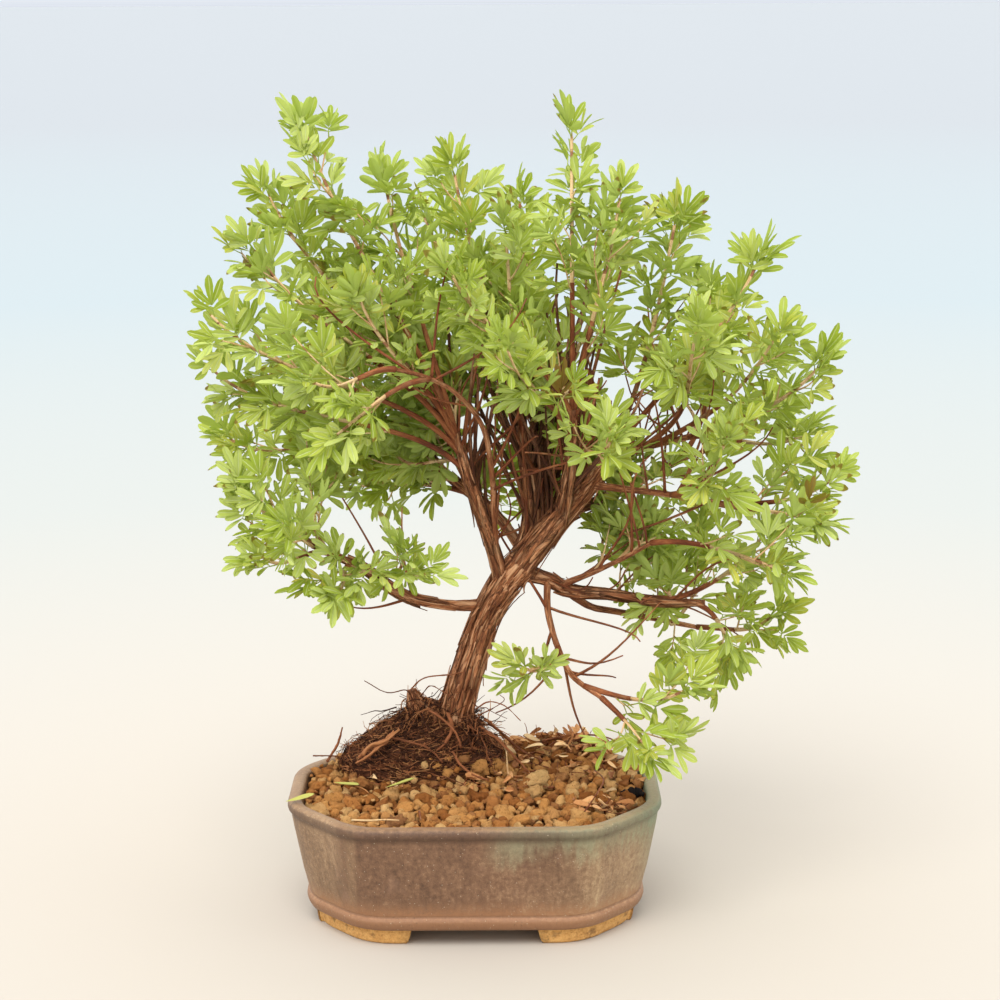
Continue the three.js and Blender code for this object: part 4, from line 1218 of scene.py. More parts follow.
def soil_top(x, y):
    share = kept_in((y + POT_DEPTH / 2) / (POT_DEPTH / SOIL_BACK_FROM + POT_DEPTH / 2))
    back = share * share * (3 - 2 * share)
    heap = math.exp(-(((x - HEAP_X) / HEAP_ACROSS) ** 2) - ((y - HEAP_Y) / HEAP_DEEP) ** 2)
    return SOIL_FRONT + SOIL_RISE * back - SOIL_SIDE_FALL * (2 * x / POT_WIDTH) ** 2 + HEAP_RISE * heap


def root_reach(x, y):
    """How far a spot lies from the middle of the root dome, as the dome's reach to its side."""
    return math.hypot(x - MAT_MIDDLE_X, (y - MAT_MIDDLE_Y) / MAT_FLATTENING)


def ground_top(x, y):
    """The soil's height, with the crumbs banked up against the front right of the root dome."""
    near = kept_in((BANK_FROM - root_reach(x, y)) / (BANK_FROM - BANK_TO))
    in_front = kept_in((MAT_MIDDLE_Y - y) / BANK_EASE) * kept_in((x - BANK_LEFT) / BANK_EASE)
    return soil_top(x, y) + BANK_RISE * near * in_front


bed_plan = pot_outline(RIM_WALL + BED_GAP)
bed_floor = pot_outline(RIM_WALL + INNER_TAPER + 3)


def bed_corner(turn, ring):
    if ring < 2:
        return Vector((*bed_floor[turn] * (0.01, 1)[ring], FLOOR_TOP + 0.5))
    x, y = bed_plan[turn] * (1 - 0.99 * (ring - 2) / (BED_RINGS - 2))
    return Vector((x, y, ground_top(x, y) - BED_DROP))


bm = bmesh.new()
bm.verts.layers.float_color.new("tint")
add_tube(bm, len(bed_plan), BED_RINGS, bed_corner)
for face in bm.faces:
    face.material_index = 1
print("soil bed:", len(bm.faces), "faces")

# %% [markdown]
# A crumb is an icosphere, made lumpy by noise of three sizes and flattened on six sides. Fourteen plain
# patterns and eight finer ones for the large crumbs are enough, since each is turned anew where it lands.

# %% Crumbs
def crumb_pattern(rng, fineness):
    """One crumb of about unit radius: a lumpy ball with a few worn flats."""
    ball = bmesh.new()
    bmesh.ops.create_icosphere(ball, subdivisions=fineness, radius=1)
    spot = Vector((rng.uniform(0, 50), 0, 0))
    flats = [(some_direction(rng), rng.uniform(0.62, 0.9)) for _ in range(6)]
    squash = Vector((rng.uniform(0.85, 1.2), rng.uniform(0.8, 1.1), rng.uniform(0.68, 0.95)))
    for vert in ball.verts:
        broad, lumps, grit = (noise.noise(vert.co * scale + spot) for scale in (1.3, 2.9, 6.5))
        place = vert.co * (1 + 0.5 * broad + 0.54 * lumps + 0.26 * grit)
        for facing, distance in flats:
            over = place.dot(facing) - distance
            if over > 0:
                place -= facing * over * 0.85
        vert.co = place * squash
    smooth(ball)
    return mesh_of(ball, "crumb")


def is_inside(x, y, spare):
    """Whether a spot lies inside the pot's wall, by at least the spare."""
    return all((b - a).cross(Vector((x, y)) - a) > spare * (b - a).length for a, b in wall_edges)


def is_under_roots(x, y):
    is_at_bank = x > -30 and y < MAT_MIDDLE_Y
    return root_reach(x, y) < (29.5 if is_at_bank else 32)


wall_plan = pot_outline(RIM_WALL, 3)
wall_edges = [(wall_plan[i - 1], wall_plan[i]) for i in range(len(wall_plan))]
wall_edges = [(a, b) for a, b in wall_edges if (b - a).length > 0.1]
rng = random.Random(5)
crumb_patterns = [crumb_pattern(rng, 2) for _ in range(14)]
large_crumb_patterns = [crumb_pattern(rng, 3) for _ in range(8)]
print("crumbs:", len(crumb_patterns[0].polygons), "or", len(large_crumb_patterns[0].polygons), "faces")

# %% [markdown]
# Sizes come in five sieved lots, each given as a number of crumbs and two radii. A crumb may sink a little
# between its neighbours or sit on them. Seen from above, two may overlap by about a fifth, and no more, so
# that each can still be made out.

# %% Throwing the crumbs
CRUMB_LOTS = ((24, 4.2, 5), (80, 3.1, 4), (260, 2.3, 3.1), (480, 1.6, 2.3), (760, 0.9, 1.5))
LARGE_CRUMB = 3.1
CRUMB_TRIES, CRUMB_CLOSENESS, GRID = 24, 0.78, 10


def throw_crumbs(rng):
    """Places for all crumbs, as x, y and radius."""
    placed, grid = [], {}
    for count, small, large in CRUMB_LOTS:
        for _ in range(count * CRUMB_TRIES):
            radius = rng.uniform(small, large)
            x = rng.uniform(-POT_WIDTH, POT_WIDTH) / 2
            y = rng.uniform(-POT_DEPTH, POT_DEPTH) / 2
            if is_under_roots(x, y) or not is_inside(x, y, radius * 0.8):
                continue
            cell = round(x / GRID), round(y / GRID)
            near = [grid.get((cell[0] + i, cell[1] + j), ()) for i in (-1, 0, 1) for j in (-1, 0, 1)]
            others = [other for spots in near for other in spots]
            if any(math.dist((x, y), (a, b)) < CRUMB_CLOSENESS * (radius + r) for a, b, r in others):
                continue
            grid.setdefault(cell, []).append((x, y, radius))
            placed.append((x, y, radius))
            count -= 1
            if not count:
                break
    return placed


def crumb_tint(rng, x):
    """How pale a crumb is, how grey, and how damp: the soil at the right is damper."""
    damp = rng.random() * 0.4 + kept_in((x - 20) / 60) * 0.45 * rng.random()
    return (rng.random(), rng.random() ** 3, damp, 1)


def add_copy(bm, mesh, placed, tint):
    """Adds a copy of a mesh, moved by the matrix placed, with one tint on all its corners."""
    start = len(bm.verts)
    bm.from_mesh(mesh)
    bm.verts.ensure_lookup_table()
    tints = bm.verts.layers.float_color["tint"]
    for vert in bm.verts[start:]:
        vert.co = placed @ vert.co
        vert[tints] = tint


def add_crumb(bm, rng, x, y, z, radius, tint):
    turned = Matrix.Rotation(rng.uniform(0, math.tau), 4, some_direction(rng))
    placed = Matrix.Translation((x, y, z)) @ turned @ Matrix.Scale(radius, 4)
    patterns = crumb_patterns if radius < LARGE_CRUMB else large_crumb_patterns
    add_copy(bm, rng.choice(patterns), placed, tint)


rng = random.Random(11)
crumbs = throw_crumbs(rng)
for x, y, radius in crumbs:
    z = ground_top(x, y) + rng.uniform(-1.4, 0.9) - radius * 0.2
    add_crumb(bm, rng, x, y, z, radius, crumb_tint(rng, x))
PALE_GRAIN, PALE_GRAIN_RADIUS = (26.7, 1.4), 5.4
add_crumb(bm, rng, *PALE_GRAIN, soil_top(*PALE_GRAIN) + 2.2, PALE_GRAIN_RADIUS, (1, 0, 0, 1))
BLACK_BIT = (68.3, -8)
BLACK_CRUMBS = ((-4, 0, 1.6, 1.8), (-1.4, -1, 2.2, 2.6), (1.6, 0, 2, 2.4), (3.6, 0, 1.4, 1.6))
for across, deep, rise, radius in BLACK_CRUMBS:
    x, y = BLACK_BIT[0] + across, BLACK_BIT[1] + deep
    add_crumb(bm, rng, x, y, soil_top(x, y) + rise, radius, (0, 0, 3, 1))
print("crumbs:", len(crumbs))

# %% [markdown]
# Fired clay is ochre to tan, and each crumb has its own tone, which its tint gives: how pale, how grey and
# how damp. Coarse noise roughens it and darkens its pores, partly as painted shade in the low parts of its
# relief. The bed below is dark as painted shade, so that the gaps between the crumbs look deep.

# %% The colours of fired clay
def soil_finish():
    soil = Finish("fired_clay_crumbs", Specular_IOR_Level=0.15)
    here = soil.places()
    pale, grey, damp = soil.parts(soil.attribute("tint", "Vector"))
    rough = soil.cloud(here, 1.0, detail=6, roughness=0.75)
    fine = soil.cloud(here, 4.0, detail=3, roughness=0.7)
    colour = soil.colours(
        pale * 0.6 + rough * 0.4,
        (0.18, srgb(140, 83, 38)),
        (0.42, srgb(188, 123, 64)),
        (0.62, srgb(216, 156, 90)),
        (0.85, srgb(234, 192, 132)),
    )
    colour = soil.mix(grey * 0.2, colour, srgb(184, 160, 128))
    colour = soil.mix(soil.ramp(damp, 0.2, 1) * 0.75, colour, srgb(116, 68, 32))
    colour = soil.mix(soil.ramp(damp, 1.5, 2.5), colour, srgb(30, 26, 26))
    # Partly painted shade: darker pores, and shade in the low parts of the relief.
    pits = soil.ramp(rough, 0.43, 0.33) * 0.7
    colour = soil.mix(pits, colour, srgb(88, 52, 26))
    return soil.wear(colour, 0.95, soil.relief(rough * 0.65 + fine * 0.35, 1.6))


def shaded_bed_finish():
    # Painted shade: a dark bed that makes the gaps between the crumbs look deep.
    bed = Finish("shaded_bed", Specular_IOR_Level=0.1)
    fine = bed.cloud(bed.places(), 0.7, detail=5)
    return bed.wear(bed.colours(fine, (0.35, srgb(48, 28, 14)), (0.65, srgb(92, 56, 28))), 0.95)


add_piece("clay_crumbs", bm, [soil_finish(), shaded_bed_finish()], ["soil"])

# %% [markdown]
# ## The leaves
# A leaf of this shrub has five narrow leaflets, sometimes three or seven, in pairs on a thin stalk. A
# leaflet is a small grid, pinched at both ends, folded up a little along its midrib and drooping at the
# tip. Its underside is a second grid that meets the first along the edge. The rim and the midrib are marked
# sharp, or the shading would run round them and swell the leaf. The picture map "blade" runs across and
# along each leaflet, and is shifted sideways for the underside and for the stalk.

# %% One leaflet
ALONG = (0, 0.34, 0.66, 0.88, 1)
HALF_WIDTHS = (0.12, 0.74, 1, 0.8, 0.22)
LEAFLET_THICKNESS, EDGE_GAP = 0.22, 0.004
UNDERSIDE_SHIFT, STALK_SHIFT = 2, 4


def add_leaflet(bm, place, length, width, fold, droop):
    """Adds a leaflet that lies along +Y, moved by the matrix place."""
    blade, steps = bm.loops.layers.uv["blade"], len(ALONG) - 1
    for shift in (0, UNDERSIDE_SHIFT):
        made = bmesh.ops.create_grid(bm, x_segments=2, y_segments=steps, size=1)["verts"]
        for face in {face for vert in made for face in vert.link_faces}:
            face.smooth = True
            for loop in face.loops:
                x, y, _ = loop.vert.co
                loop[blade].uv = (shift + (x + 1) / 2, (y + 1) / 2)
            if shift:
                face.normal_flip()
        for edge in {edge for vert in made for edge in vert.link_edges}:
            is_rib = all(abs(vert.co.x) < 0.1 for vert in edge.verts)
            edge.smooth = not (edge.is_boundary or is_rib)
        for vert in made:
            step, across = round((vert.co.y + 1) * steps / 2), round(vert.co.x)
            x = across * HALF_WIDTHS[step] * width / 2
            sunk = LEAFLET_THICKNESS if shift and not across and 0 < step < steps else 0
            z = fold * abs(x) - droop * ALONG[step] ** 2 * length - sunk
            vert.co = place @ Vector((x, ALONG[step] * length, z))


print("leaflet:", len(ALONG) - 1, "steps along")

# %% [markdown]
# Fourteen different leaves are made, and every leaf on the tree is a turned and scaled copy of one of them.
# The lower pair of leaflets spreads widest. Most leaves have five leaflets, a few have three or seven.

# %% Fourteen leaves
STALK_LENGTH, STALK_SAG, STALK_END_SAG = 5, 0.5, 0.35
LEAFLET_LENGTH, LEAFLET_WIDTH = 14, 3.7
LEAFLET_PAIRS = {3: ((0, 38),), 5: ((0, 62), (2.2, 30)), 7: ((0, 72), (2, 47), (4, 24))}
LEAF_KINDS = (5, 5, 3, 5, 7, 5, 5, 3, 5, 5, 7, 5, 3, 5)


def leaf_pattern(rng, leaflets):
    """A leaf at the origin, with its stalk along +Y and its face up, as a mesh for copying."""
    bm = bmesh.new()
    blade = bm.loops.layers.uv.new("blade")
    bend = rng.uniform(-0.5, 0.5)

    def stalk(turn, ring):
        angle, radius = math.tau * turn / 3, 0.4 - 0.07 * ring
        sag = STALK_SAG * math.sin(math.pi * ring / 4)
        x, z = radius * math.cos(angle) + bend * ring / 2, radius * math.sin(angle) - sag
        return Vector((x, STALK_LENGTH * ring / 2, z))

    add_tube(bm, 3, 2, stalk)
    for face in bm.faces:
        for loop in face.loops:
            loop[blade].uv = (STALK_SHIFT + 0.5, loop.vert.co.y / STALK_LENGTH)
    pairs = LEAFLET_PAIRS[leaflets]
    spots = [(rise, sign * angle) for rise, angle in pairs for sign in (1, -1)]
    spots.append((pairs[-1][0] + 0.6, 0))
    for rise, angle in spots:
        size = rng.uniform(0.86, 1.08) * (1 if not angle else 0.95 - abs(angle) / 500)
        turned = Matrix.Rotation(math.radians(-angle + rng.gauss(0, 5)), 4, "Z")
        lifted = Matrix.Rotation(math.radians(rng.gauss(3, 11)), 4, "X")
        rolled = Matrix.Rotation(math.radians(rng.gauss(0, 14)), 4, "Y")
        there = Matrix.Translation((bend, STALK_LENGTH + rise - 0.3, -STALK_END_SAG))
        width = LEAFLET_WIDTH * rng.uniform(0.85, 1.1)
        fold, droop = rng.uniform(0.1, 0.5), rng.uniform(0, 0.2)
        add_leaflet(bm, there @ turned @ lifted @ rolled, LEAFLET_LENGTH * size, width, fold, droop)
    bmesh.ops.remove_doubles(bm, verts=bm.verts, dist=EDGE_GAP)
    return mesh_of(bm, "leaf_pattern")


rng = random.Random(19)
leaf_patterns = [leaf_pattern(rng, leaflets) for leaflets in LEAF_KINDS]
print("faces of a leaf:", [len(mesh.polygons) for mesh in leaf_patterns])

# %% [markdown]
# A leaf is set by the way its stalk points. Its face looks partly towards the tip of the shoot that it
# grows on and partly up to the light, give or take some. It keeps a tint: how yellow it is, how bright, and
# how brown its tips are. No leaf may stand out beyond the solid model's box.

# %% Setting a leaf
LEAF_REACH = STALK_LENGTH + LEAFLET_LENGTH + 1
room_low, room_high = (TO_FRAME.inverted() @ corner for corner in cad_box)
LIGHT = Vector((0.05, -0.5, 1)).normalized()


def has_room(point):
    return all(low < part < high for low, part, high in zip(room_low, point, room_high))


def set_leaf(bm, rng, place, axis, along, size, tint):
    if not has_room(place + axis * LEAF_REACH * size):
        return
    facing = LIGHT * 0.7 + along * 0.6 + some_direction(rng) * 0.5
    facing = (facing - axis * facing.dot(axis)).normalized()
    facing.rotate(Matrix.Rotation(math.radians(rng.gauss(0, 24)), 3, axis))
    turned = Matrix((axis.cross(facing), axis, facing)).transposed().to_4x4()
    placed = Matrix.Translation(place) @ turned @ Matrix.Scale(size, 4)
    add_copy(bm, rng.choice(leaf_patterns), placed, tint)


def leaf_tint(rng, age):
    """Yellow, brightness and brown tips of a leaf, from 0 to 1. Old leaves low on a shoot turn first."""
    yellow = rng.random() ** 5 * 0.5 + (0.6 if rng.random() < 0.04 * age else 0)
    brown = rng.random() ** 2 if rng.random() < 0.2 + 0.3 * age else 0
    return (min(1, yellow), rng.uniform(0.1, 1) * (1 - 0.35 * age), min(1, brown), 1)


print("room for leaves:", [round(part) for part in (*room_low, *room_high)])

# %% [markdown]
# Each leaf on a stem is turned on from the last by the golden angle, so that none stands right above its
# neighbour. A side shoot carries a few leaves along its length and a fan of two at its end.

# %% Leaves on a stem
GOLDEN_ANGLE = math.radians(137.5)
TUFT_LEAVES_APART = 6.5


def leafy_bmesh():
    """A bmesh with the layers that wood and leaves need."""
    bm = bmesh.new()
    wood_layers(bm)
    bm.loops.layers.uv.new("blade")
    bm.verts.layers.float_color.new("tint")
    return bm


def spiral(along, number, lean, first=0.0):
    """A direction that leans away from along, turned on by the golden angle for each number."""
    side = along.orthogonal().normalized()
    side.rotate(Matrix.Rotation(first + GOLDEN_ANGLE * number, 3, along))
    return (along * math.cos(lean) + side * math.sin(lean)).normalized()


def grow_leaf(bm, rng, curve, station, number, lean, first, size, age):
    """A leaf at a station of a stem, leaning away from it by so many degrees."""
    along = direction(curve, station)
    axis = spiral(along, number, math.radians(lean), first)
    set_leaf(bm, rng, curve(station), axis, along, size, leaf_tint(rng, age))


def add_tuft(bm, rng, curve, length, size, age):
    """Leaves along a side shoot, and a fan of them at its end."""
    first, count = rng.uniform(0, math.tau), max(1, round(length / TUFT_LEAVES_APART))
    for i in range(count):
        station, lean = 0.2 + 0.75 * i / count, rng.uniform(34, 60)
        grow_leaf(bm, rng, curve, station, i, lean, first, size * rng.uniform(0.8, 1.1), age)
    for i in range(2):
        lean = rng.uniform(14, 44)
        grow_leaf(bm, rng, curve, 1, i, lean, first + 1, size * rng.uniform(0.75, 1), 0)


print("golden angle:", round(GOLDEN_ANGLE, 3))

# %% [markdown]
# A spray is the leafy end of a shoot. Leaves stand along its stem in close pairs, and short side shoots
# carry tufts of them, as the photo shows. The tip ends in three young leaves.

# %% A spray
SIDE_SHOOT_SPACING, SIDE_SHOOTS_FROM, SIDE_SHOOTS_TO = 12.5, 0.28, 0.9
LEAVES_APART, TIP_LEAVES = 7, 3


def add_side_shoots(bm, rng, curve, first):
    """Stems of the side shoots. Gives back the curve, length and age of each."""
    reach = SIDE_SHOOTS_TO - SIDE_SHOOTS_FROM
    side_shoots = max(2, round(length_of(curve) * reach / SIDE_SHOOT_SPACING))
    tufts = []
    for i in range(side_shoots):
        station = SIDE_SHOOTS_FROM + reach * (i + rng.uniform(0, 0.8)) / side_shoots
        lean = math.radians(rng.uniform(28, 56))
        heading = spiral(direction(curve, station), i, lean, first)
        heading = (heading + Vector((0, 0, 0.25))).normalized()
        length = rng.uniform(8, 25) * (1.15 - 0.5 * i / side_shoots)
        if not has_room(curve(station) + heading * (length + LEAF_REACH * 0.7)):
            length *= 0.5
        side = twig_curve(rng, curve(station), heading, length, 0.25)
        add_stem(bm, stem_rings(side, tapered(0.5, 0.3), 5), 4, 0.05)
        tufts.append((side, length, 1 - i / side_shoots))
    return tufts


def add_spray(bm, rng, curve, thick=SHOOT_RADIUS, stem_from=LEAFY_FROM):
    """The stem, side shoots and leaves of a shoot. Its wood has the second material."""
    faces_before = len(bm.faces)
    rings = stem_rings(curve, tapered(thick, SHOOT_TIP_RADIUS), 14, stem_from, 1)
    add_stem(bm, rings, 6, 0.12)
    first = rng.uniform(0, math.tau)
    tufts = add_side_shoots(bm, rng, curve, first)
    bm.faces.ensure_lookup_table()
    for face in bm.faces[faces_before:]:
        face.material_index = 1
        face.smooth = True
    for side, length, age in tufts:
        add_tuft(bm, rng, side, length, rng.uniform(0.8, 1.02), age * 0.6)
    count = round(length_of(curve) * (1 - LEAFY_FROM) / LEAVES_APART)
    for i in range(count):
        share = min(1, (i // 2 * 2 + 1 + rng.uniform(-0.3, 0.3)) / count)
        station = LEAFY_FROM + (1 - LEAFY_FROM) * share
        lean = rng.uniform(36, 62) - 22 * share
        grow_leaf(bm, rng, curve, station, i, lean, first + 0.6, rng.uniform(0.85, 1.1), 1 - share)
    for i in range(TIP_LEAVES):
        grow_leaf(bm, rng, curve, 1 - 0.01 * i, i, 12 + 12 * i, first, rng.uniform(0.7, 1), 0)


print("spray helpers ready")

# %% [markdown]
# A leaf is a fresh yellow green above and paler below, with a light midrib. A few have brown tips or edges,
# or are withered. Thin leaves glow when the light is behind them, so a share of the light passes through.

# %% The leaf's colours
def leaf_finish():
    leaf = Finish("cinquefoil_leaf", Specular_IOR_Level=0.25)
    across, along, _ = leaf.parts(leaf.node("ShaderNodeUVMap", {"uv_map": "blade"}))
    yellow, bright, brown = leaf.parts(leaf.attribute("tint", "Vector"))
    here = leaf.places()
    mottle = leaf.cloud(here, 0.5, detail=4)
    is_under = leaf.ramp(across, 1.2, 1.4, soft=False)
    is_stalk = leaf.ramp(across, 3.2, 3.4, soft=False)
    from_rib = ((across - is_under * UNDERSIDE_SHIFT - 0.5) * 2).abs()
    top = leaf.colours(
        bright * 0.7 + mottle * 0.3,
        (0.15, srgb(142, 160, 54)),
        (0.45, srgb(178, 193, 84)),
        (0.8, srgb(210, 222, 136)),
    )
    top = leaf.mix(yellow, top, srgb(228, 212, 100))
    rib = leaf.ramp(from_rib, 0.24, 0.08)
    slanted = leaf.node("ShaderNodeCombineXYZ", {}, {0: from_rib * 2 - along * 9, 1: 0.5})
    side_veins = leaf.ramp(leaf.cells(slanted, 1.0), 0.12, 0.02) * 0.25
    top = leaf.mix((rib * 0.8 + side_veins).clamped(), top, srgb(222, 232, 172))
    colour = leaf.mix(is_under, top, srgb(184, 200, 112))
    tip = leaf.ramp(along + mottle * 0.3 + brown * 0.35, 1.08, 1.15) * leaf.ramp(brown, 0.01, 0.05)
    edge = leaf.ramp(from_rib + mottle * 0.4, 1.02, 1.2) * brown
    withered = leaf.ramp(brown, 0.93, 0.98)
    colour = leaf.mix((tip + edge + withered).clamped() * 0.9, colour, srgb(124, 72, 40))
    stalk = leaf.mix(leaf.ramp(along, 0.45, 0.05), srgb(160, 178, 92), srgb(150, 98, 58))
    colour = leaf.mix(is_stalk, colour, stalk)
    height = rib * -0.6 + mottle * 0.4 - side_veins
    leaf.wear(colour, 0.5 + mottle * 0.2, leaf.relief(height, 0.25))
    return leaf.let_light_through((*srgb(212, 224, 106), 1), 0.46)


leaf_green = leaf_finish()
for number, curve in enumerate(shoot_curves, 1):
    bm = leafy_bmesh()
    add_spray(bm, random.Random(500 + number), curve)
    add_piece(f"leafy_shoot_{number:02}", bm, [leaf_green, bark], [f"spray_{number:02}"])

# %% [markdown]
# The inside of the crown is filled by shorter shoots. Each grows to a place that is picked at random inside
# one of three egg-shaped volumes, from the nearest limb, and rather from one that lies below it.

# %% Shoots inside the crown
INNER_VOLUMES = {
    "middle": {"centre": (20, 36, 228), "reach": (70, 34, 50), "shoots": 32},
    "right": {"centre": (82, 34, 162), "reach": (36, 34, 34), "shoots": 9},
    "left": {"centre": (-52, 28, 216), "reach": (40, 34, 44), "shoots": 12},
}
INNER_RADIUS = 0.8
INNER_LIMBS = [name for name in LIMBS if name not in ("trunk", "root_crown", "cascade")]


def nearest_spot(target):
    """The limb and station nearest to a target. One that isn't well below it counts as further off."""
    def cost(spot):
        away = target - limb_curves[spot[0]](spot[1])
        return away.length + 2 * max(0, 12 - away.z)

    return min(((name, step / 8) for name in INNER_LIMBS for step in range(3, 9)), key=cost)


for number, (part, volume) in enumerate(INNER_VOLUMES.items()):
    bm = leafy_bmesh()
    rng = random.Random(800 + number)
    for _ in range(volume["shoots"]):
        offset = some_direction(rng) * rng.random() ** (1 / 3)
        target = Vector(m + r * o for m, r, o in zip(volume["centre"], volume["reach"], offset))
        add_spray(bm, rng, shoot_curve(*nearest_spot(target), target), INNER_RADIUS, 0)
    add_piece(f"inner_shoots_{part}", bm, [leaf_green, bark])

# %% [markdown]
# ## What has fallen
# Dry leaflets and bits of twig and root lie on the soil, most of them in a heap at the back right and in
# the right front corner. Each heap is given as its middle, its spread across and deep, and its share of the
# litter. A few long bits lie where the photo shows them, each given as four points, a radius and an age.

# %% Litter on the soil
LITTER_HEAPS = ((44, 46, 20, 7, 0.55), (60, -24, 7, 5, 0.12), (40, 28, 22, 12, 0.18), (-8, 2, 26, 5, 0.15))
LITTER_TWIGS, DRY_LEAFLETS = 230, 210


def litter_spot(rng):
    """A spot on the soil, most often in one of the heaps."""
    while True:
        x, y, across, deep, _ = rng.choices(LITTER_HEAPS, [heap[-1] for heap in LITTER_HEAPS])[0]
        x, y = rng.gauss(x, across), rng.gauss(y, deep)
        if is_inside(x, y, 3) and not is_under_roots(x, y):
            return Vector((x, y, soil_top(x, y) + 0.9))


def dry_leaf_finish():
    dry = Finish("dry_leaves", Specular_IOR_Level=0.2)
    tone, fresh, _ = dry.parts(dry.attribute("tint", "Vector"))
    mottle = dry.cloud(dry.places(), 0.9, detail=4)
    colour = dry.colours(
        tone * 0.75 + mottle * 0.25,
        (0.1, srgb(126, 78, 45)),
        (0.4, srgb(186, 130, 82)),
        (0.7, srgb(218, 174, 123)),
        (0.95, srgb(234, 210, 166)),
    )
    colour = dry.mix(fresh, colour, srgb(164, 176, 88))
    return dry.wear(colour, 0.75, dry.relief(mottle, 0.3))


bm = leafy_bmesh()
rng = random.Random(31)
for _ in range(LITTER_TWIGS):
    heading = some_direction(rng)
    heading.z *= 0.25
    start = litter_spot(rng)
    length = rng.uniform(3, 11)
    curve = twig_curve(rng, start, heading.normalized(), length, 0.5)
    add_stem(bm, stem_rings(curve, tapered(rng.uniform(0.22, 0.45), 0.18), 5), 4, rng.uniform(0.2, 1))
LONG_BITS = (
    ((-51, -48, 53.4), (-44, -50, 53.8), (-37, -49, 53.8), (-31, -49, 53.4), 0.5, 0.1),
    ((-23.4, -36, 53), (-22.8, -43, 55.4), (-22.4, -50, 55.6), (-22, -54, 55.2), 0.4, 0.25),
    ((46.3, -40, 54), (50, -36, 58), (55, -22, 62), (52, -4, 61), 0.35, 0.3),
    ((14.6, 6.7, 54), (14.2, 8, 58), (14, 9, 62), (13.7, 10, 66), 0.4, 0),
    ((30, 40, 62), (44, 41, 64), (56, 40, 64), (66, 38, 61), 0.5, 0.6),
)
for *points, radius, age in LONG_BITS:
    rings = stem_rings(curve_through(points), tapered(radius, radius * 0.7), 10)
    add_stem(bm, rings, 5, age)
for face in bm.faces:
    face.material_index = 1
    face.smooth = True
print("twigs of litter:", len(bm.faces), "faces")

# %% [markdown]
# The dry leaflets use the same form as the living ones, but folded and curled far more. Four of them are
# pale, and three leaflets on the left have fallen fresh and lie almost flat. The tint holds how pale and
# how fresh a leaflet is.

# %% Dry and fallen leaflets
FALLEN_LENGTH, FALLEN_WIDTH = 10, 3.6
PALE_LEAFLETS = ((18, 30, 59), (29, 39, 62), (22, 34, 60), (35, 44, 64))
FRESH_LEAFLETS = ((-38, -12, 56.5, -1.5), (-80, -27, 55, -1.2), (-61, -3, 56, -2.1))


def drop_leaflet(bm, rng, spot, size, tint, curl=1.0, heading=None):
    turned = Matrix.Rotation(rng.uniform(0, math.tau) if heading is None else heading, 4, "Z")
    turned = turned @ Matrix.Rotation(rng.gauss(0, 0.35) * curl, 4, "X")
    rolled = Matrix.Rotation(rng.gauss(0, 0.7) * curl, 4, "Y")
    start = len(bm.verts)
    there = Matrix.Translation(spot) @ turned @ rolled
    fold, droop = rng.uniform(0.2, 1.1) * curl, rng.uniform(-0.5, 0.4) * curl
    add_leaflet(bm, there, FALLEN_LENGTH * size, FALLEN_WIDTH * size, fold, droop)
    bm.verts.ensure_lookup_table()
    tints = bm.verts.layers.float_color["tint"]
    for vert in bm.verts[start:]:
        vert[tints] = tint


rng = random.Random(67)
for _ in range(DRY_LEAFLETS):
    spot = litter_spot(rng) + Vector((0, 0, rng.uniform(0.2, 2.4)))
    drop_leaflet(bm, rng, spot, rng.uniform(0.35, 0.9), (rng.random(), 0, 0, 1))
for place in PALE_LEAFLETS:
    drop_leaflet(bm, rng, Vector(place), 0.9, (1, 0, 0, 1))
for *place, heading in FRESH_LEAFLETS:
    drop_leaflet(bm, rng, Vector(place), 1.25, (0.5, 0.8, 0, 1), 0.3, heading)
bmesh.ops.remove_doubles(bm, verts=bm.verts, dist=EDGE_GAP)
add_piece("litter", bm, [dry_leaf_finish(), bark])

# %% [markdown]
# ## Light, floor and camera
# The photo is bright and soft: a pale cream ground that turns to a cool white further back. One flat disc
# does for both. It runs far out, in metres, so that its far part fills the upper half of the picture, and
# its colour changes with the distance from the pot.

# %% The ground
GROUND_RADIUS, COLOURS_END = 3000, 8


def ground_finish():
    ground = Finish("pale_ground", Specular_IOR_Level=0.1)
    x, y, _ = ground.parts(ground.places((MM, MM, MM)))
    out = (x * x + y * y).root()
    colour = ground.colours(
        out / COLOURS_END,
        (0.02, srgb(183, 177, 169)),
        (0.12, srgb(168, 173, 173)),
        (0.3, srgb(157, 169, 176)),
        (0.95, srgb(155, 162, 170)),
    )
    return ground.wear(colour, 0.9)


bm = bmesh.new()
bmesh.ops.create_circle(bm, cap_ends=True, segments=96, radius=GROUND_RADIUS)
mesh = mesh_of(bm, "ground")
mesh.materials.append(ground_finish())
ground = bpy.data.objects.new("ground", mesh)
bpy.context.scene.collection.objects.link(ground)

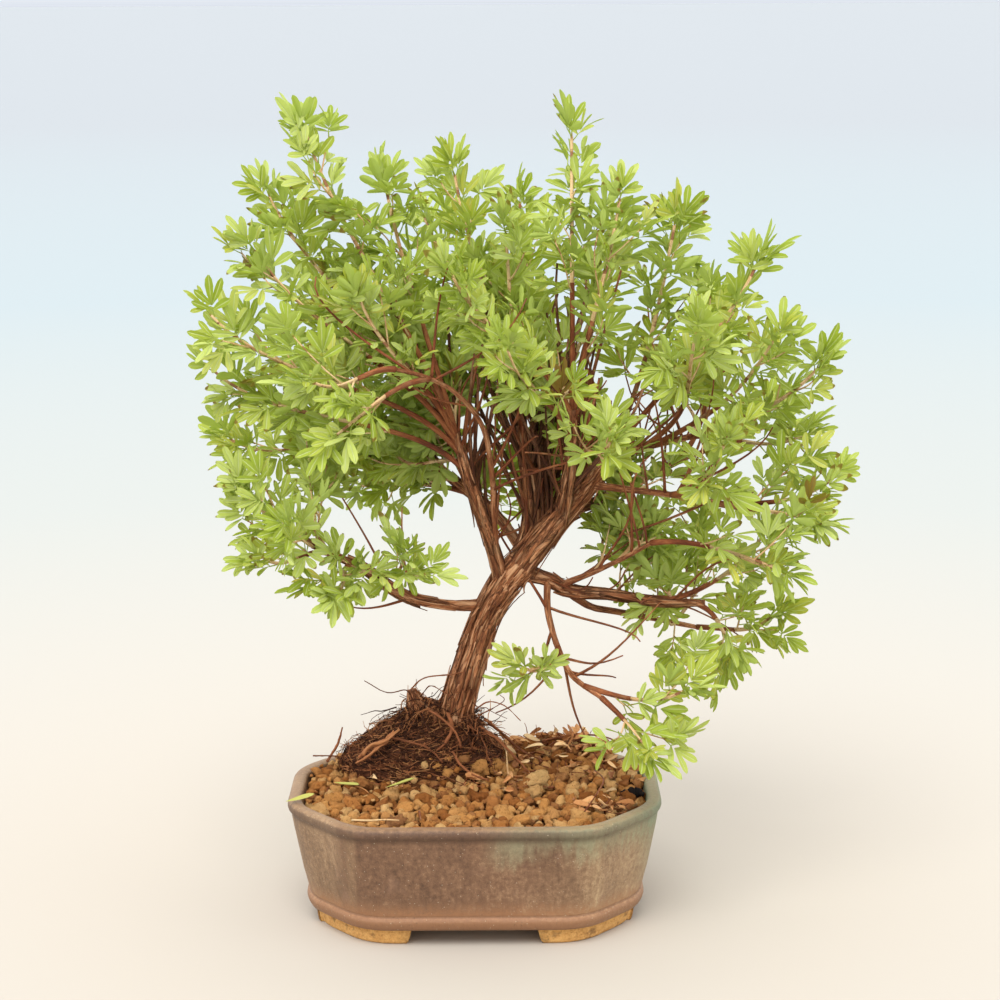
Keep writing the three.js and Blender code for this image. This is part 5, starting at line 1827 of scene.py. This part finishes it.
# %% [markdown]
# Light comes from all around, with a little more from the upper left front, as from a large window. So the
# world is a bright white that turns a cool grey below the horizon, and one sun with a wide angle casts the
# soft shadow. The Standard view keeps the colours as they are set.

# %% The light
world = bpy.data.worlds.new("soft_room")
bpy.context.scene.world = world
world.use_nodes = True
sky = world.node_tree.nodes
background = sky["Background"]
background.inputs["Strength"].default_value = 1.6
where, height, shades = (sky.new(f"ShaderNode{kind}") for kind in ("TexCoord", "SeparateXYZ", "ValToRGB"))
shades.color_ramp.elements[0].color = (0.464, 0.493, 0.54, 1)
shades.color_ramp.elements[1].color = (1, 0.98, 0.95, 1)
shades.color_ramp.elements[1].position = 0.04
world.node_tree.links.new(where.outputs["Generated"], height.inputs[0])
world.node_tree.links.new(height.outputs["Z"], shades.inputs[0])
world.node_tree.links.new(shades.outputs[0], background.inputs["Color"])
sun_data = bpy.data.lights.new("window", "SUN")
sun_data.energy = 2.3
sun_data.angle = math.radians(38)
sun_data.color = (1, 0.97, 0.92)
sun = bpy.data.objects.new("window", sun_data)
sun.rotation_euler = (math.radians(36), math.radians(-9), 0)
bpy.context.scene.collection.objects.link(sun)
bpy.context.scene.view_settings.view_transform = "Standard"

# %% [markdown]
# The camera stands about a metre in front of the pot and looks a little down. Its place, its tilts and its
# lens were worked out from where the rim and the feet of the pot lie in the photo.

# %% The camera
PHOTO_CAMERA, PHOTO_PITCH, PHOTO_ROLL, PHOTO_LENS = (11.5, -1087, 387), -10.8, -0.3, 93.6
camera_data = bpy.data.cameras.new("photo_camera")
camera_data.lens = PHOTO_LENS
camera_data.sensor_width = 36
camera_data.clip_end = 5000
camera = bpy.data.objects.new("photo_camera", camera_data)
tilt = Matrix.Rotation(math.radians(90 + PHOTO_PITCH), 4, "X")
roll = Matrix.Rotation(math.radians(PHOTO_ROLL), 4, "Z")
camera.matrix_world = Matrix.Translation(in_frame(*PHOTO_CAMERA)) @ tilt @ roll
bpy.context.scene.collection.objects.link(camera)
bpy.context.scene.camera = camera
